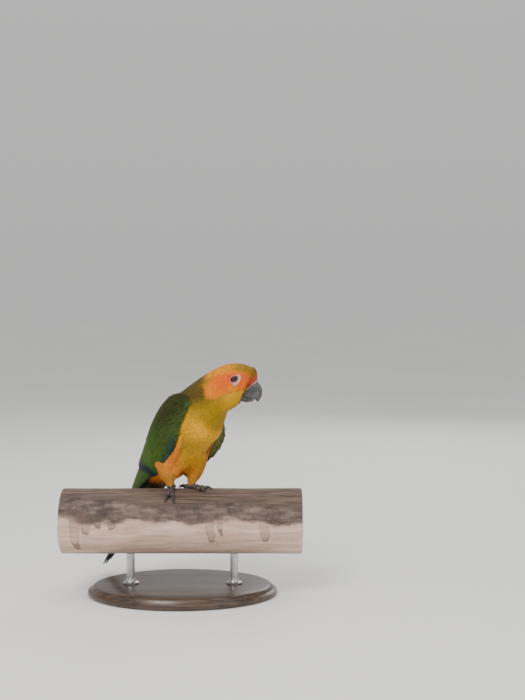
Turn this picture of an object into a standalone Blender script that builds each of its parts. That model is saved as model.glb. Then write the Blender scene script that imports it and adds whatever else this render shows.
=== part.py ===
"""Life-size still model of a green-winged sun conure on a short cut of log, held by a display stand.

Metres, +Z up. The origin is the centre of the stand base's underside. The log lies along X and the
viewer stands on the -Y side. The bird heads toward +X and the viewer, with its face turned to +X.
"""

import math
import random

import bmesh
import bpy
import numpy as np
from mathutils import Matrix, Vector

MM = 0.001
GAP = 0.3

# The stand and the log, in millimetres
PERCH_TOP = 106.0
PERCH_RADIUS = 32.7
PERCH_LENGTH = 240.0
PERCH_SIDES = 44
PERCH_CHAMFER = 1.6
BASE_WIDTH = 190.0
BASE_DEPTH = 140.0
BASE_THICKNESS = 10.0
BASE_SIDES = 56
BASE_CHAMFER = 1.5
ROD_RADIUS = 4.0
ROD_SPACING = 104.0
ROD_SIDES = 20

# The body, as cross sections from the bill's base back to the root of the tail. Each one has the
# place of its centre over the log, x, y, z, then heading and pitch of the bird's axis in degrees,
# then how far it reaches up, down and to each side.
STATIONS = np.array([
    (68.2, -31.5, 104.0, 6, -46, 9.5, 9.0, 7.8),
    (66.9, -31.2, 104.9, 6, -30, 16.2, 16.0, 11.3),
    (62.5, -30.6, 105.1, 6, -18, 19.6, 19.2, 14.3),
    (54.2, -29.2, 104.0, 8, -10, 23.0, 22.2, 17.0),
    (45.0, -26.8, 101.7, 12, 0, 24.0, 23.0, 18.6),
    (38.0, -24.3, 96.0, 18, 11, 25.2, 24.0, 20.0),
    (31.0, -20.7, 89.0, 25, 21, 26.2, 25.0, 22.0),
    (24.0, -16.5, 82.0, 31, 32, 27.2, 26.5, 24.5),
    (13.5, -9.0, 70.0, 38, 44, 30.4, 29.0, 27.0),
    (6.0, -2.5, 62.0, 42, 52.5, 31.0, 30.5, 28.0),
    (0.0, 3.0, 53.0, 42, 52.5, 30.0, 31.0, 28.0),
    (-9.0, 11.1, 37.1, 42, 52.5, 26.8, 28.0, 26.4),
    (-18.1, 19.3, 21.3, 41, 52.5, 22.8, 19.5, 22.0),
    (-25.5, 27.0, 8.6, 40, 52.0, 18.6, 12.0, 16.6),
    (-33.2, 34.4, -4.1, 40, 51.0, 14.6, 8.0, 12.5),
    (-40.2, 40.8, -15.4, 40, 50.5, 10.0, 5.5, 10.0),
    (-47.8, 47.4, -27.8, 40, 50.5, 4.2, 3.4, 8.6),
])
SECTION_POWER = 2.15
SECTION_POINTS = 24
HEAD_RINGS = 13
NECK_FRONT = 4.6
TORSO_FRONT = 7.0
TAIL_FRONT = 13.4
TAIL_BACK = 16.0

# The surface that the folded wings lie on, which leaves the body at the rump
COVER_BACK = np.array([
    (13.5, -9.0, 70.0, 38, 44, 32.6, 29.0, 27.6),
    (6.0, -2.5, 62.0, 42, 52.5, 32.4, 30.5, 28.8),
    (0.0, 3.0, 53.0, 42, 52.5, 31.0, 31.0, 28.6),
    (-9.0, 11.1, 37.1, 42, 52.5, 27.8, 28.0, 27.0),
    (-18.1, 19.3, 21.3, 41, 52.5, 24.0, 19.5, 22.8),
    (-25.5, 27.0, 8.6, 40, 52.0, 21.0, 14.0, 18.6),
    (-33.2, 34.4, -4.1, 40, 51.0, 18.2, 10.0, 14.6),
    (-41.0, 41.6, -16.8, 40, 50.5, 14.6, 8.0, 11.6),
    (-48.8, 48.8, -29.4, 40, 50.5, 11.2, 8.0, 9.4),
    (-55.0, 54.6, -39.6, 40, 50.5, 9.2, 7.0, 7.6),
])
COVER = np.vstack([STATIONS[:8], COVER_BACK])

# The folded wing's lower and upper edge, as degrees above the side, at places along the body
WING_EDGES = np.array([
    (7.0, 12.0, 28.0),
    (7.3, 2.0, 46.0),
    (8.0, -10.0, 64.0),
    (9.0, -21.0, 78.0),
    (10.0, -27.0, 85.0),
    (11.0, -30.0, 87.0),
    (12.0, -29.0, 88.0),
    (13.0, -22.0, 88.0),
    (14.0, -12.0, 88.0),
    (15.0, 2.0, 88.0),
    (16.0, 28.0, 88.0),
    (17.0, 62.0, 86.0),
])
WING_LIFT = 0.45
WING_ROOM = 8.0
CORE_THICKNESS = 1.7
CORE_BACK = 12.3
# The far wing hangs lower and stands off the breast along its lower edge, over this many stations
WING_DROP = {"left": 17.0, "right": 0.0}
WING_FLARE = {"left": 4.0, "right": 0.0}
DROOP_STATIONS = 5.5
SEED = 7

# A feather's places along its shaft, with its width and thickness there
VANE_STEPS = (0.0, 0.45, 0.85, 1.0)
VANE_SHAPE = (0.7, 1.0, 0.72, 0.16)
VANE_THICKNESS = (0.6, 0.6, 0.5, 0.3)
ROOT_HEIGHT = 0.5
COVERT_LEAN = 0.10
PRIMARY_LEAN = 0.2
# Rows of wing coverts: station of the roots, length in stations, how many, width, the first one's
# place across the wing and the step to the next, and the height of the tips over the inner face
COVERTS = [
    (7.25, 0.75, 3, 9.0, 0.14, 0.290, 2.3),
    (7.70, 0.80, 4, 9.4, 0.17, 0.228, 2.3),
    (8.20, 0.95, 5, 10.0, 0.09, 0.185, 2.3),
    (8.80, 1.15, 6, 10.0, 0.12, 0.155, 2.4),
    (9.55, 1.55, 7, 10.4, 0.07, 0.135, 2.7),
]
LENGTH_SPREAD = 0.06
# The flight feathers: how many, the innermost's and the outermost's root and tip as station and
# place across the wing, and the first and last width
SECONDARY_COUNT = 7
SECONDARY_ROOTS = [(10.5, 0.89), (10.5, 0.10)]
SECONDARY_TIPS = [(12.7, 0.86), (12.45, 0.13)]
SECONDARY_WIDTHS = (10.4, 10.0)
PRIMARY_COUNT = 7
PRIMARY_ROOTS = [(11.6, 0.82), (11.6, 0.14)]
PRIMARY_TIPS = [(13.5, 0.84), (16.9, 0.48)]
PRIMARY_WIDTHS = (9.0, 7.0)

# The tail's length behind the end of the rump, then each pair of its feathers from the middle out:
# share of that length, distance from the middle, and width
TAIL_LENGTH = 96.0
RECTRICES = [(1.0, 3.0, 8.2), (0.91, 5.4, 7.8), (0.80, 7.2, 7.2), (0.68, 8.6, 6.8), (0.56, 9.8, 6.2),
             (0.45, 10.6, 5.4)]
RECTRIX_STEP = 0.85
RECTRIX_SHAPE = (0.85, 1.0, 0.8, 0.3)
RECTRIX_START = -8.0
RECTRIX_CLOSE = 0.45
RECTRIX_TURN = 4.0

# The bill, in the face's own plane. Each row has the forward and up places of its outer and of its
# inner edge from the middle of the face, then its half width. A section goes from the outer edge at
# depth 0 to the inner at 1, with its share of the half width there.
FACE = (67.0, -31.5, 102.0)
FACE_HEADING = 6.0
UPPER_BILL = np.array([
    (7.9, 7.8, -5.2, -3.7, 7.2),
    (11.2, 4.4, -4.2, -5.0, 7.0),
    (12.9, 0.2, -2.1, -6.6, 6.6),
    (13.1, -4.0, 0.8, -8.2, 5.7),
    (12.1, -7.8, 4.2, -9.2, 4.2),
    (10.3, -10.8, 7.2, -10.2, 2.1),
])
UPPER_BILL_TIP = (8.3, -13.0)
UPPER_BILL_SECTION = [(0.0, 0.0), (0.07, 0.36), (0.25, 0.70), (0.55, 0.95), (1.0, 1.0)]
LOWER_BILL = np.array([
    (-9.5, -3.5, -9.5, -12.0, 5.6),
    (-5.4, -5.2, -6.2, -12.3, 5.6),
    (-2.6, -7.4, -3.0, -13.0, 5.0),
    (0.6, -9.2, 0.2, -12.9, 4.0),
    (3.2, -10.0, 3.2, -12.0, 2.4),
])
LOWER_BILL_SECTION = [(0.0, 1.0), (0.35, 1.0), (0.7, 0.8), (0.93, 0.4), (1.0, 0.0)]
BILL_SLOPE = 46.0
NOSTRIL_PLACE = (7.2, 5.6, 3.6)
NOSTRIL_AXIS = (0.55, 0.5, 0.67)
NOSTRIL_RADIUS = 0.9
NOSTRIL_DEPTH = 1.6

# The eyes
EYE_RADIUS = 4.3
EYE_STATION = 2.98
EYE_ANGLE = 20.0
EYE_SUNK = 2.7
LID_RADIUS = 3.9
LID_THICKNESS = 0.8

# The legs, as points over the log with the feathered leg's radius at each
LEG_LEFT = [((12.0, 4.0, 38.0), 10.5), ((13.6, 4.6, 26.0), 10.4), ((11.6, 3.8, 15.0), 8.2),
            ((9.8, 1.6, 8.2), 5.2)]
LEG_RIGHT = [((-18.0, -2.0, 36.0), 12.2), ((-17.0, -6.5, 25.0), 11.0), ((-13.6, -9.0, 15.0), 8.2),
             ((-11.8, -9.6, 8.6), 5.2)]
FOOT_LEFT = (10.5, 1.0)
FOOT_RIGHT = (-11.0, 16.0)
SHANK_RADIUS = 2.6
TOE_RADIUS = 2.1
CLAW_LENGTH = 7.0
# Each toe: its direction round the foot in degrees from +X, and its length
TOES_LEFT = [(18.0, 15.0), (47.0, 13.0), (196.0, 9.0), (226.0, 13.5)]
TOES_RIGHT = [(78.0, 14.5), (103.0, 13.0), (256.0, 13.5), (286.0, 9.0)]

FEATHER_YELLOW = (0.62, 0.36, 0.03)
FEATHER_ORANGE = (0.72, 0.22, 0.02)
FEATHER_OLIVE = (0.33, 0.24, 0.03)
FEATHER_GREEN = (0.05, 0.13, 0.02)
BILL_GREY = (0.05, 0.055, 0.06)
FOOT_GREY = (0.10, 0.08, 0.08)
EYE_BROWN = (0.02, 0.008, 0.006)
LOG_PALE = (0.50, 0.36, 0.29)
STAND_DARK = (0.03, 0.03, 0.032)


def clear_scene():
    for item in list(bpy.data.objects):
        bpy.data.objects.remove(item, do_unlink=True)


def new_collection(name):
    group = bpy.data.collections.new(name)
    bpy.context.scene.collection.children.link(group)
    return group


def finish_material(name, colour, roughness, metallic=0.0):
    material = bpy.data.materials.new(name)
    material.use_nodes = True
    shader = material.node_tree.nodes["Principled BSDF"]
    shader.inputs["Base Color"].default_value = (*colour, 1.0)
    shader.inputs["Roughness"].default_value = roughness
    shader.inputs["Metallic"].default_value = metallic
    return material


def solid(name, points, faces, group):
    """A mesh object from points in millimetres over the log's top line."""
    placed = [(x * MM, y * MM, (z + PERCH_TOP) * MM) for x, y, z in points]
    mesh = bpy.data.meshes.new(name)
    mesh.from_pydata(placed, [], faces)
    mesh.update()
    item = bpy.data.objects.new(name, mesh)
    group.objects.link(item)
    return item


def eased(knots, values, t):
    """Smooth values through uneven knots, with each knot's slope taken from its neighbours."""
    slopes = np.gradient(values, knots, axis=0)
    k = int(np.clip(np.searchsorted(knots, t) - 1, 0, len(knots) - 2))
    span = knots[k + 1] - knots[k]
    f = (t - knots[k]) / span
    start = values[k] * (1 + 2 * f) * (1 - f) ** 2 + slopes[k] * span * f * (1 - f) ** 2
    end = values[k + 1] * f * f * (3 - 2 * f) + slopes[k + 1] * span * f * f * (f - 1)
    return start + end


def station(table, u):
    """The section at station u: its centre, its forward, left and up directions and its reach."""
    steps = np.linalg.norm(np.diff(table[:, :3], axis=0), axis=1)
    knots = np.concatenate([[0.0], np.cumsum(steps)])
    row = eased(knots, table, float(np.interp(u, np.arange(len(table)), knots)))
    heading = math.radians(row[3])
    pitch = math.radians(row[4])
    level = np.array([math.cos(heading), -math.sin(heading), 0.0])
    forward = level * math.cos(pitch) + np.array([0.0, 0.0, math.sin(pitch)])
    up = level * -math.sin(pitch) + np.array([0.0, 0.0, math.cos(pitch)])
    left = np.array([math.sin(heading), math.cos(heading), 0.0])
    return row[:3], forward, left, up, row[5:8]


def surface(table, u, v):
    """The point at station u and angle v: 0 is the left side, 90 the back and 180 the right."""
    centre, _, left, up, (high, low, side) = station(table, u)
    angle = math.radians(v)
    across = math.copysign(abs(math.cos(angle)) ** (2 / SECTION_POWER), math.cos(angle))
    along = math.copysign(abs(math.sin(angle)) ** (2 / SECTION_POWER), math.sin(angle))
    return centre + left * across * side + up * along * (high if along > 0 else low)


def outward(table, u, v):
    """The surface's outward direction at station u and angle v."""
    along = surface(table, u + 0.05, v) - surface(table, u - 0.05, v)
    around = surface(table, u, v + 2.0) - surface(table, u, v - 2.0)
    normal = np.cross(along, around)
    return normal / np.linalg.norm(normal)


def raised(table, u, v, lift):
    return surface(table, u, v) + outward(table, u, v) * lift


def ring(table, u, lift=0.0):
    angles = np.arange(SECTION_POINTS) * 360.0 / SECTION_POINTS
    return [raised(table, u, v, lift) if lift else surface(table, u, v) for v in angles]


def loft(name, rings, group, tip=None):
    """A closed body through rings of equal count, with flat ends or a pointed last end."""
    count = len(rings[0])
    points = [tuple(p) for loop in rings for p in loop]
    faces = [tuple(range(count))]
    for k in range(len(rings) - 1):
        for j in range(count):
            a = k * count + j
            b = k * count + (j + 1) % count
            faces.append((a, a + count, b + count, b))
    last = (len(rings) - 1) * count
    if tip is None:
        faces.append(tuple(last + j for j in reversed(range(count))))
    else:
        points.append(tuple(tip))
        faces += [(last + j, len(points) - 1, last + (j + 1) % count) for j in range(count)]
    item = solid(name, points, faces, group)
    face_out(item)
    return item


def face_out(item):
    body = bmesh.new()
    body.from_mesh(item.data)
    bmesh.ops.recalc_face_normals(body, faces=body.faces)
    body.to_mesh(item.data)
    body.free()


def body_length(name, front, back, rings, group, lift=0.0):
    """A length of the body between two stations, swollen all round by the lift."""
    loops = [ring(STATIONS, u, lift) for u in np.linspace(front, back, rings)]
    loops[0] = [p + station(STATIONS, front)[1] * lift for p in loops[0]]
    loops[-1] = [p - station(STATIONS, back)[1] * lift for p in loops[-1]]
    return loft(name, loops, group)


def plate(name, outer, inner, group):
    """A closed thin form from two grids of points, split into triangles alike on both faces."""
    rows = len(outer)
    columns = len(outer[0])
    points = [tuple(p) for row in outer for p in row] + [tuple(p) for row in inner for p in row]
    under = rows * columns
    faces = []
    for i in range(rows - 1):
        for j in range(columns - 1):
            a = i * columns + j
            b = a + columns
            faces += [(a, b, b + 1), (a, b + 1, a + 1)]
            faces += [(under + b + 1, under + b, under + a), (under + a + 1, under + b + 1, under + a)]
    edge = [j for j in range(columns)]
    edge += [i * columns + columns - 1 for i in range(1, rows)]
    edge += [(rows - 1) * columns + j for j in range(columns - 2, -1, -1)]
    edge += [i * columns for i in range(rows - 2, 0, -1)]
    for a, b in zip(edge, edge[1:] + edge[:1]):
        faces.append((a, b, under + b, under + a))
    item = solid(name, points, faces, group)
    face_out(item)
    return item


def tube(name, points, radii, group, sides=2):
    """A tapered tube through points, made as a curve and turned into a welded mesh."""
    curve = bpy.data.curves.new(name, "CURVE")
    curve.dimensions = "3D"
    curve.bevel_depth = MM
    curve.bevel_resolution = sides
    curve.use_fill_caps = True
    spline = curve.splines.new("POLY")
    spline.points.add(len(points) - 1)
    for knot, place, radius in zip(spline.points, points, radii):
        knot.co = (place[0] * MM, place[1] * MM, (place[2] + PERCH_TOP) * MM, 1.0)
        knot.radius = radius
    route = bpy.data.objects.new(name + "_route", curve)
    group.objects.link(route)
    bpy.context.view_layer.update()
    graph = bpy.context.evaluated_depsgraph_get()
    mesh = bpy.data.meshes.new_from_object(route.evaluated_get(graph))
    bpy.data.objects.remove(route, do_unlink=True)
    body = bmesh.new()
    body.from_mesh(mesh)
    bmesh.ops.remove_doubles(body, verts=body.verts, dist=0.01 * MM)
    bmesh.ops.recalc_face_normals(body, faces=body.faces)
    body.to_mesh(mesh)
    body.free()
    item = bpy.data.objects.new(name, mesh)
    group.objects.link(item)
    return item


def smoothed(points, radii, per_span=3):
    """More points along the same route, with their radii."""
    knots = np.arange(len(points), dtype=float)
    table = np.column_stack([np.array(points, dtype=float), radii])
    rows = [eased(knots, table, t) for t in np.linspace(0, len(points) - 1, per_span * (len(points) - 1) + 1)]
    return [row[:3] for row in rows], [row[3] for row in rows]


def largest_surface(item):
    """Keeps the biggest closed surface of a mesh and drops loose scraps and sealed hollows."""
    body = bmesh.new()
    body.from_mesh(item.data)
    bmesh.ops.triangulate(body, faces=body.faces)
    left = set(body.verts)
    groups = []
    while left:
        seed = left.pop()
        group = {seed}
        queue = [seed]
        while queue:
            for edge in queue.pop().link_edges:
                for vert in edge.verts:
                    if vert in left:
                        left.remove(vert)
                        group.add(vert)
                        queue.append(vert)
        groups.append(group)
    groups.sort(key=lambda g: sum(f.calc_area() for f in {f for v in g for f in v.link_faces}))
    scraps = [vert for group in groups[:-1] for vert in group]
    bmesh.ops.delete(body, geom=scraps, context="VERTS")
    body.to_mesh(item.data)
    body.free()


def combine(item, others, operation, solver="EXACT"):
    """Joins other solids to an item, or cuts them from it, and removes them."""
    tools = bpy.data.collections.new(item.name + "_tools")
    for other in others:
        for home in list(other.users_collection):
            home.objects.unlink(other)
        tools.objects.link(other)
    bpy.context.scene.collection.children.link(tools)
    change = item.modifiers.new(operation, "BOOLEAN")
    change.operation = operation
    change.operand_type = "COLLECTION"
    change.collection = tools
    change.solver = solver
    bpy.context.view_layer.update()
    graph = bpy.context.evaluated_depsgraph_get()
    mesh = bpy.data.meshes.new_from_object(item.evaluated_get(graph))
    item.modifiers.clear()
    item.data = mesh
    for other in list(tools.objects):
        bpy.data.objects.remove(other, do_unlink=True)
    bpy.data.collections.remove(tools)
    largest_surface(item)
    return item


def ball(name, centre, radius, group, segments=16, rings=9):
    body = bmesh.new()
    bmesh.ops.create_uvsphere(body, u_segments=segments, v_segments=rings, radius=radius * MM)
    mesh = bpy.data.meshes.new(name)
    body.to_mesh(mesh)
    body.free()
    mesh.transform(translation(centre))
    item = bpy.data.objects.new(name, mesh)
    group.objects.link(item)
    return item


def translation(place):
    return Matrix.Translation((place[0] * MM, place[1] * MM, (place[2] + PERCH_TOP) * MM))


def turned_to(axis):
    return Vector(axis).to_track_quat("Z", "Y").to_matrix().to_4x4()


def rod_along(name, centre, axis, radius, length, sides, group):
    """A cylinder with its middle at a place and its length along an axis."""
    body = bmesh.new()
    bmesh.ops.create_cone(body, cap_ends=True, segments=sides, radius1=radius * MM,
                          radius2=radius * MM, depth=length * MM)
    mesh = bpy.data.meshes.new(name)
    body.to_mesh(mesh)
    body.free()
    mesh.transform(translation(centre) @ turned_to(axis))
    item = bpy.data.objects.new(name, mesh)
    group.objects.link(item)
    return item


def ring_around(name, centre, axis, radius, thickness, group, segments=18, sides=6):
    """A round ring, as a circle swept round its axis."""
    across = turned_to(axis)
    points = []
    faces = []
    for k in range(segments):
        turn = 2 * math.pi * k / segments
        for j in range(sides):
            roll = 2 * math.pi * j / sides
            reach = radius + thickness * math.cos(roll)
            place = Vector((reach * math.cos(turn), reach * math.sin(turn), thickness * math.sin(roll)))
            points.append(tuple(np.array(across @ place) + np.array(centre)))
            a = k * sides + j
            b = k * sides + (j + 1) % sides
            c = ((k + 1) % segments) * sides + (j + 1) % sides
            d = ((k + 1) % segments) * sides + j
            faces.append((a, d, c, b))
    item = solid(name, points, faces, group)
    face_out(item)
    return item


def eye_place(side):
    """The middle of an eyeball and the way that it looks, for the left or the right side."""
    angle = EYE_ANGLE if side == "left" else 180.0 - EYE_ANGLE
    look = outward(STATIONS, EYE_STATION, angle)
    place = surface(STATIONS, EYE_STATION, angle)
    return place - look * EYE_SUNK, look, place


def make_head(group):
    head = body_length("head", 0.0, NECK_FRONT, HEAD_RINGS, group)
    lids = []
    sockets = []
    for side in ("left", "right"):
        centre, look, place = eye_place(side)
        lids.append(ring_around("lid_" + side, place + look * 0.1, look, LID_RADIUS, LID_THICKNESS, group))
        sockets.append(ball("socket_" + side, centre, EYE_RADIUS + GAP, group))
    combine(head, lids, "UNION")
    combine(head, sockets, "DIFFERENCE")
    return head


def make_eyes(group):
    eyes = []
    for side in ("left", "right"):
        centre, _, _ = eye_place(side)
        eyes.append(ball("eye_" + side, centre, EYE_RADIUS, group))
    return eyes


def face_point(forward, up, side=0.0):
    heading = math.radians(FACE_HEADING)
    ahead = np.array([math.cos(heading), -math.sin(heading), 0.0])
    left = np.array([math.sin(heading), math.cos(heading), 0.0])
    return np.array(FACE) + ahead * forward + left * side + np.array([0.0, 0.0, up])


def bill_ring(row, section):
    """A closed loop of points round the bill at one row of its table."""
    outer = np.array(row[:2])
    inner = np.array(row[2:4])
    places = [(outer + (inner - outer) * depth, share * row[4]) for depth, share in section]
    loop = [face_point(p[0], p[1], side) for p, side in places]
    loop += [face_point(p[0], p[1], -side) for p, side in reversed(places) if side > 0]
    return loop


def face_room(group):
    """The space that the head takes, with its gap, which the bill is cut back from."""
    return body_length("face_room", 0.0, NECK_FRONT, HEAD_RINGS, group, lift=GAP)


def make_bill_upper(group):
    slope = math.radians(BILL_SLOPE)
    shift = np.array([math.cos(slope), -math.sin(slope)]) * (GAP + 0.1)
    table = UPPER_BILL.copy()
    table[:, 0:2] += shift
    table[:, 2:4] += shift
    knots = np.arange(len(table), dtype=float)
    rows = [eased(knots, table, t) for t in np.linspace(0, len(table) - 1, 10)]
    bill = loft("bill_upper", [bill_ring(row, UPPER_BILL_SECTION) for row in rows], group,
                tip=face_point(*(np.array(UPPER_BILL_TIP) + shift)))
    cutters = [face_room(group)]
    forward, up, side = NOSTRIL_PLACE
    for sign in (1.0, -1.0):
        axis = (NOSTRIL_AXIS[0], sign * NOSTRIL_AXIS[1], NOSTRIL_AXIS[2])
        cutters.append(rod_along("nostril", face_point(forward, up, sign * side), axis,
                                 NOSTRIL_RADIUS, NOSTRIL_DEPTH * 2, 10, group))
    return combine(bill, cutters, "DIFFERENCE")


def make_bill_lower(group):
    rows = [bill_ring(row, LOWER_BILL_SECTION) for row in LOWER_BILL]
    return combine(loft("bill_lower", rows, group), [face_room(group)], "DIFFERENCE")


def wing_place(side, u, f):
    """The angle and the flare of a folded wing at station u, from its lower edge 0 to its upper 1."""
    low, high = (np.interp(u, WING_EDGES[:, 0], WING_EDGES[:, k]) for k in (1, 2))
    along = np.clip((u - WING_EDGES[0, 0]) / DROOP_STATIONS, 0.0, 1.0)
    droop = math.sin(math.pi * along) * (1.0 - f) ** 2
    angle = low + (high - low) * f - WING_DROP[side] * droop
    return (angle if side == "left" else 180.0 - angle), WING_FLARE[side] * droop


def wing_point(side, u, f, height):
    """A point over a folded wing's inner face, with the wing's outward way and its way to the back."""
    v, flare = wing_place(side, u, f)
    toward, _ = wing_place(side, u, f + 0.02)
    out = outward(COVER, u, v)
    upward = surface(COVER, u, toward) - surface(COVER, u, v)
    return surface(COVER, u, v) + out * (WING_LIFT + flare + height), out, upward / np.linalg.norm(upward)


def wing_core(side, group):
    """The wing's arm, a thin shell that the roots of all its feathers are sunk in."""
    rows = np.linspace(WING_EDGES[0, 0], CORE_BACK, 12)
    outer = []
    inner = []
    for k, u in enumerate(rows):
        places = np.linspace(0.03, 1.0, 7)
        thickness = CORE_THICKNESS * (1.0 if k < len(rows) - 2 else 0.75)
        outer.append([wing_point(side, u, f, thickness * (0.8 + 0.2 * math.sin(math.pi * f)))[0]
                      for f in places])
        inner.append([wing_point(side, u, f, 0.0)[0] for f in places])
    return plate("wing_" + side, outer, inner, group)


def vane(places, outs, acrosses, widths, lean, group):
    """One feather: a thin plate through places, which leans so that its lower edge stands out."""
    outer = []
    inner = []
    for place, out, across, width, thick in zip(places, outs, acrosses, widths, VANE_THICKNESS):
        half = width / 2
        outer.append([place + across * half * f + out * (thick * lift - lean * half * f)
                      for f, lift in ((-1, 0.9), (0, 1.25), (1, 0.9))])
        inner.append([place + across * half * f - out * lean * half * f for f in (-1, 0, 1)])
    return plate("vane", outer, inner, group)


def wing_vane(side, root, tip, width, low, high, lean, group):
    """A wing feather from its root to its tip, both as station and place across the wing."""
    places = []
    outs = []
    acrosses = []
    for t in VANE_STEPS:
        u = root[0] + (tip[0] - root[0]) * t
        f = root[1] + (tip[1] - root[1]) * t
        place, out, upward = wing_point(side, u, f, low + (high - low) * t)
        places.append(place)
        outs.append(out)
        acrosses.append(upward)
    return vane(places, outs, acrosses, [width * share for share in VANE_SHAPE], lean, group)


def between(first, last, share):
    return [a + (b - a) * share for a, b in zip(first, last)]


def make_wing(side, group):
    draw = random.Random(SEED)
    feathers = []
    for root, length, count, width, first, step, high in COVERTS:
        for k in range(count):
            f = first + step * k
            reach = length * (1 + draw.uniform(-LENGTH_SPREAD, LENGTH_SPREAD))
            feathers.append(wing_vane(side, (root, f), (root + reach, f), width, ROOT_HEIGHT, high,
                                      COVERT_LEAN, group))
    for k in range(SECONDARY_COUNT):
        share = k / (SECONDARY_COUNT - 1)
        width = SECONDARY_WIDTHS[0] + (SECONDARY_WIDTHS[1] - SECONDARY_WIDTHS[0]) * share
        feathers.append(wing_vane(side, between(*SECONDARY_ROOTS, share), between(*SECONDARY_TIPS, share),
                                  width, ROOT_HEIGHT, 2.3, COVERT_LEAN, group))
    for k in range(PRIMARY_COUNT):
        share = k / (PRIMARY_COUNT - 1)
        width = PRIMARY_WIDTHS[0] + (PRIMARY_WIDTHS[1] - PRIMARY_WIDTHS[0]) * share
        feathers.append(wing_vane(side, between(*PRIMARY_ROOTS, share), between(*PRIMARY_TIPS, share),
                                  width, ROOT_HEIGHT, 1.3 - 0.6 * share, PRIMARY_LEAN, group))
    return combine(wing_core(side, group), feathers, "UNION")


def wing_room(side, group):
    """The space over the flank that a wing and its feathers take, with their gap."""
    rows = np.linspace(WING_EDGES[0, 0], WING_EDGES[-1, 0], 25)
    grids = []
    for height in (WING_ROOM, -2 * GAP):
        grid = []
        for u in rows:
            places = [wing_place(side, u, f) for f in np.linspace(-0.04, 1.0, 7)]
            grid.append([raised(COVER, u, v, WING_LIFT + flare + height) for v, flare in places])
        grids.append(grid)
    return plate("wing_room", grids[0], grids[1], group)


def tail_vane(frame, start, length, place, turn, width, group):
    """A tail feather that leaves the root of the tail at a place across and above its middle."""
    centre, forward, left, up = frame
    across = left * math.cos(turn) + up * math.sin(turn)
    out = up * math.cos(turn) - left * math.sin(turn)
    places = []
    for t in VANE_STEPS:
        behind = start + length * t
        side, height = place(t)
        places.append(centre - forward * behind + left * side + up * height)
    steps = len(VANE_STEPS)
    widths = [width * share for share in RECTRIX_SHAPE]
    return vane(places, [out] * steps, [across] * steps, widths, 0.0, group)


def make_tail(group):
    core = body_length("tail", TAIL_FRONT, TAIL_BACK, 7, group)
    centre, forward, left, up, _ = station(STATIONS, TAIL_BACK)
    frame = (centre, forward, left, up)
    feathers = []
    for k, (share, side, width) in enumerate(RECTRICES):
        for sign, drop in ((-1, 0.0), (1, RECTRIX_STEP)):
            height = -RECTRIX_STEP * k - drop
            feathers.append(tail_vane(frame, RECTRIX_START, TAIL_LENGTH * share,
                                      lambda t, s=sign * side, h=height: (s * (1 - RECTRIX_CLOSE * t), h),
                                      math.radians(-sign * RECTRIX_TURN), width, group))
    for k in range(-2, 3):
        feathers.append(tail_vane(frame, -16.0, 36.0 - 4.0 * abs(k),
                                  lambda t, k=k: (3.6 * k, 6.6 - 4.6 * t - 1.0 * abs(k)),
                                  math.radians(-9.0 * k), 7.0, group))
        feathers.append(tail_vane(frame, -12.0, 30.0 - 3.5 * abs(k),
                                  lambda t, k=k: (3.2 * k, -3.4 - 3.4 * t + 0.3 * abs(k)),
                                  math.radians(7.0 * k), 6.4, group))
    return combine(core, feathers, "UNION")


def make_leg(side, route, group):
    points, radii = smoothed([p for p, _ in route], [r for _, r in route])
    leg = tube("leg_" + side, points, radii, group, sides=4)
    flank = body_length("flank", TORSO_FRONT, TAIL_FRONT, 15, group, lift=GAP)
    return combine(leg, [flank, wing_room(side, group)], "DIFFERENCE")


def on_log(x, turn, lift):
    """The point over the log at x, turned from its top toward the viewer, at a height over it."""
    angle = math.radians(turn)
    reach = PERCH_RADIUS + lift
    return np.array([x, -reach * math.sin(angle), -PERCH_RADIUS + reach * math.cos(angle)])


def toe(name, foot, direction, length, group):
    """A toe along the log's surface, with knuckles, which ends in a hooked claw."""
    angle = math.radians(direction)
    points = []
    radii = []
    for t in np.linspace(0.0, 1.0, 8):
        far = t * length
        x = foot[0] + far * math.cos(angle)
        turn = foot[1] + math.degrees(far * math.sin(angle) / (PERCH_RADIUS + TOE_RADIUS))
        radius = TOE_RADIUS * (1.15 - 0.32 * t + 0.10 * math.cos(t * 6 * math.pi))
        points.append(on_log(x, turn, GAP + radius))
        radii.append(radius)
    for t in (0.4, 0.8, 1.0):
        far = length + t * CLAW_LENGTH
        x = foot[0] + far * math.cos(angle)
        turn = foot[1] + math.degrees(far * math.sin(angle) / (PERCH_RADIUS + TOE_RADIUS))
        radius = TOE_RADIUS * 0.72 * (1 - t) + 0.18
        height = GAP + radius + 1.3 * math.sin(math.pi * min(1.0, t))
        points.append(on_log(x, turn, height))
        radii.append(radius)
    return tube(name, points, radii, group)


def make_foot(side, foot, route, toes, group):
    above, ankle = smoothed([p for p, _ in route], [r for _, r in route])[0][-2:]
    down = (ankle - above) / np.linalg.norm(ankle - above)
    pad = on_log(foot[0], foot[1], GAP + TOE_RADIUS * 1.6)
    points = [ankle + down * GAP, ankle + down * 1.5, (ankle + pad) / 2 + down, pad]
    radii = [SHANK_RADIUS, SHANK_RADIUS, SHANK_RADIUS, TOE_RADIUS * 1.5]
    shank = tube("foot_" + side, points, radii, group)
    parts = [toe("toe", foot, direction, length, group) for direction, length in toes]
    return combine(shank, parts, "UNION")


def make_perch(group):
    log = rod_along("perch", (0.0, 0.0, -PERCH_RADIUS), (1, 0, 0), PERCH_RADIUS, PERCH_LENGTH,
                    PERCH_SIDES, group)
    chamfer(log, PERCH_CHAMFER)
    return log


def chamfer(item, width):
    change = item.modifiers.new("edge", "BEVEL")
    change.width = width * MM
    change.segments = 2
    change.limit_method = "ANGLE"


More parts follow.
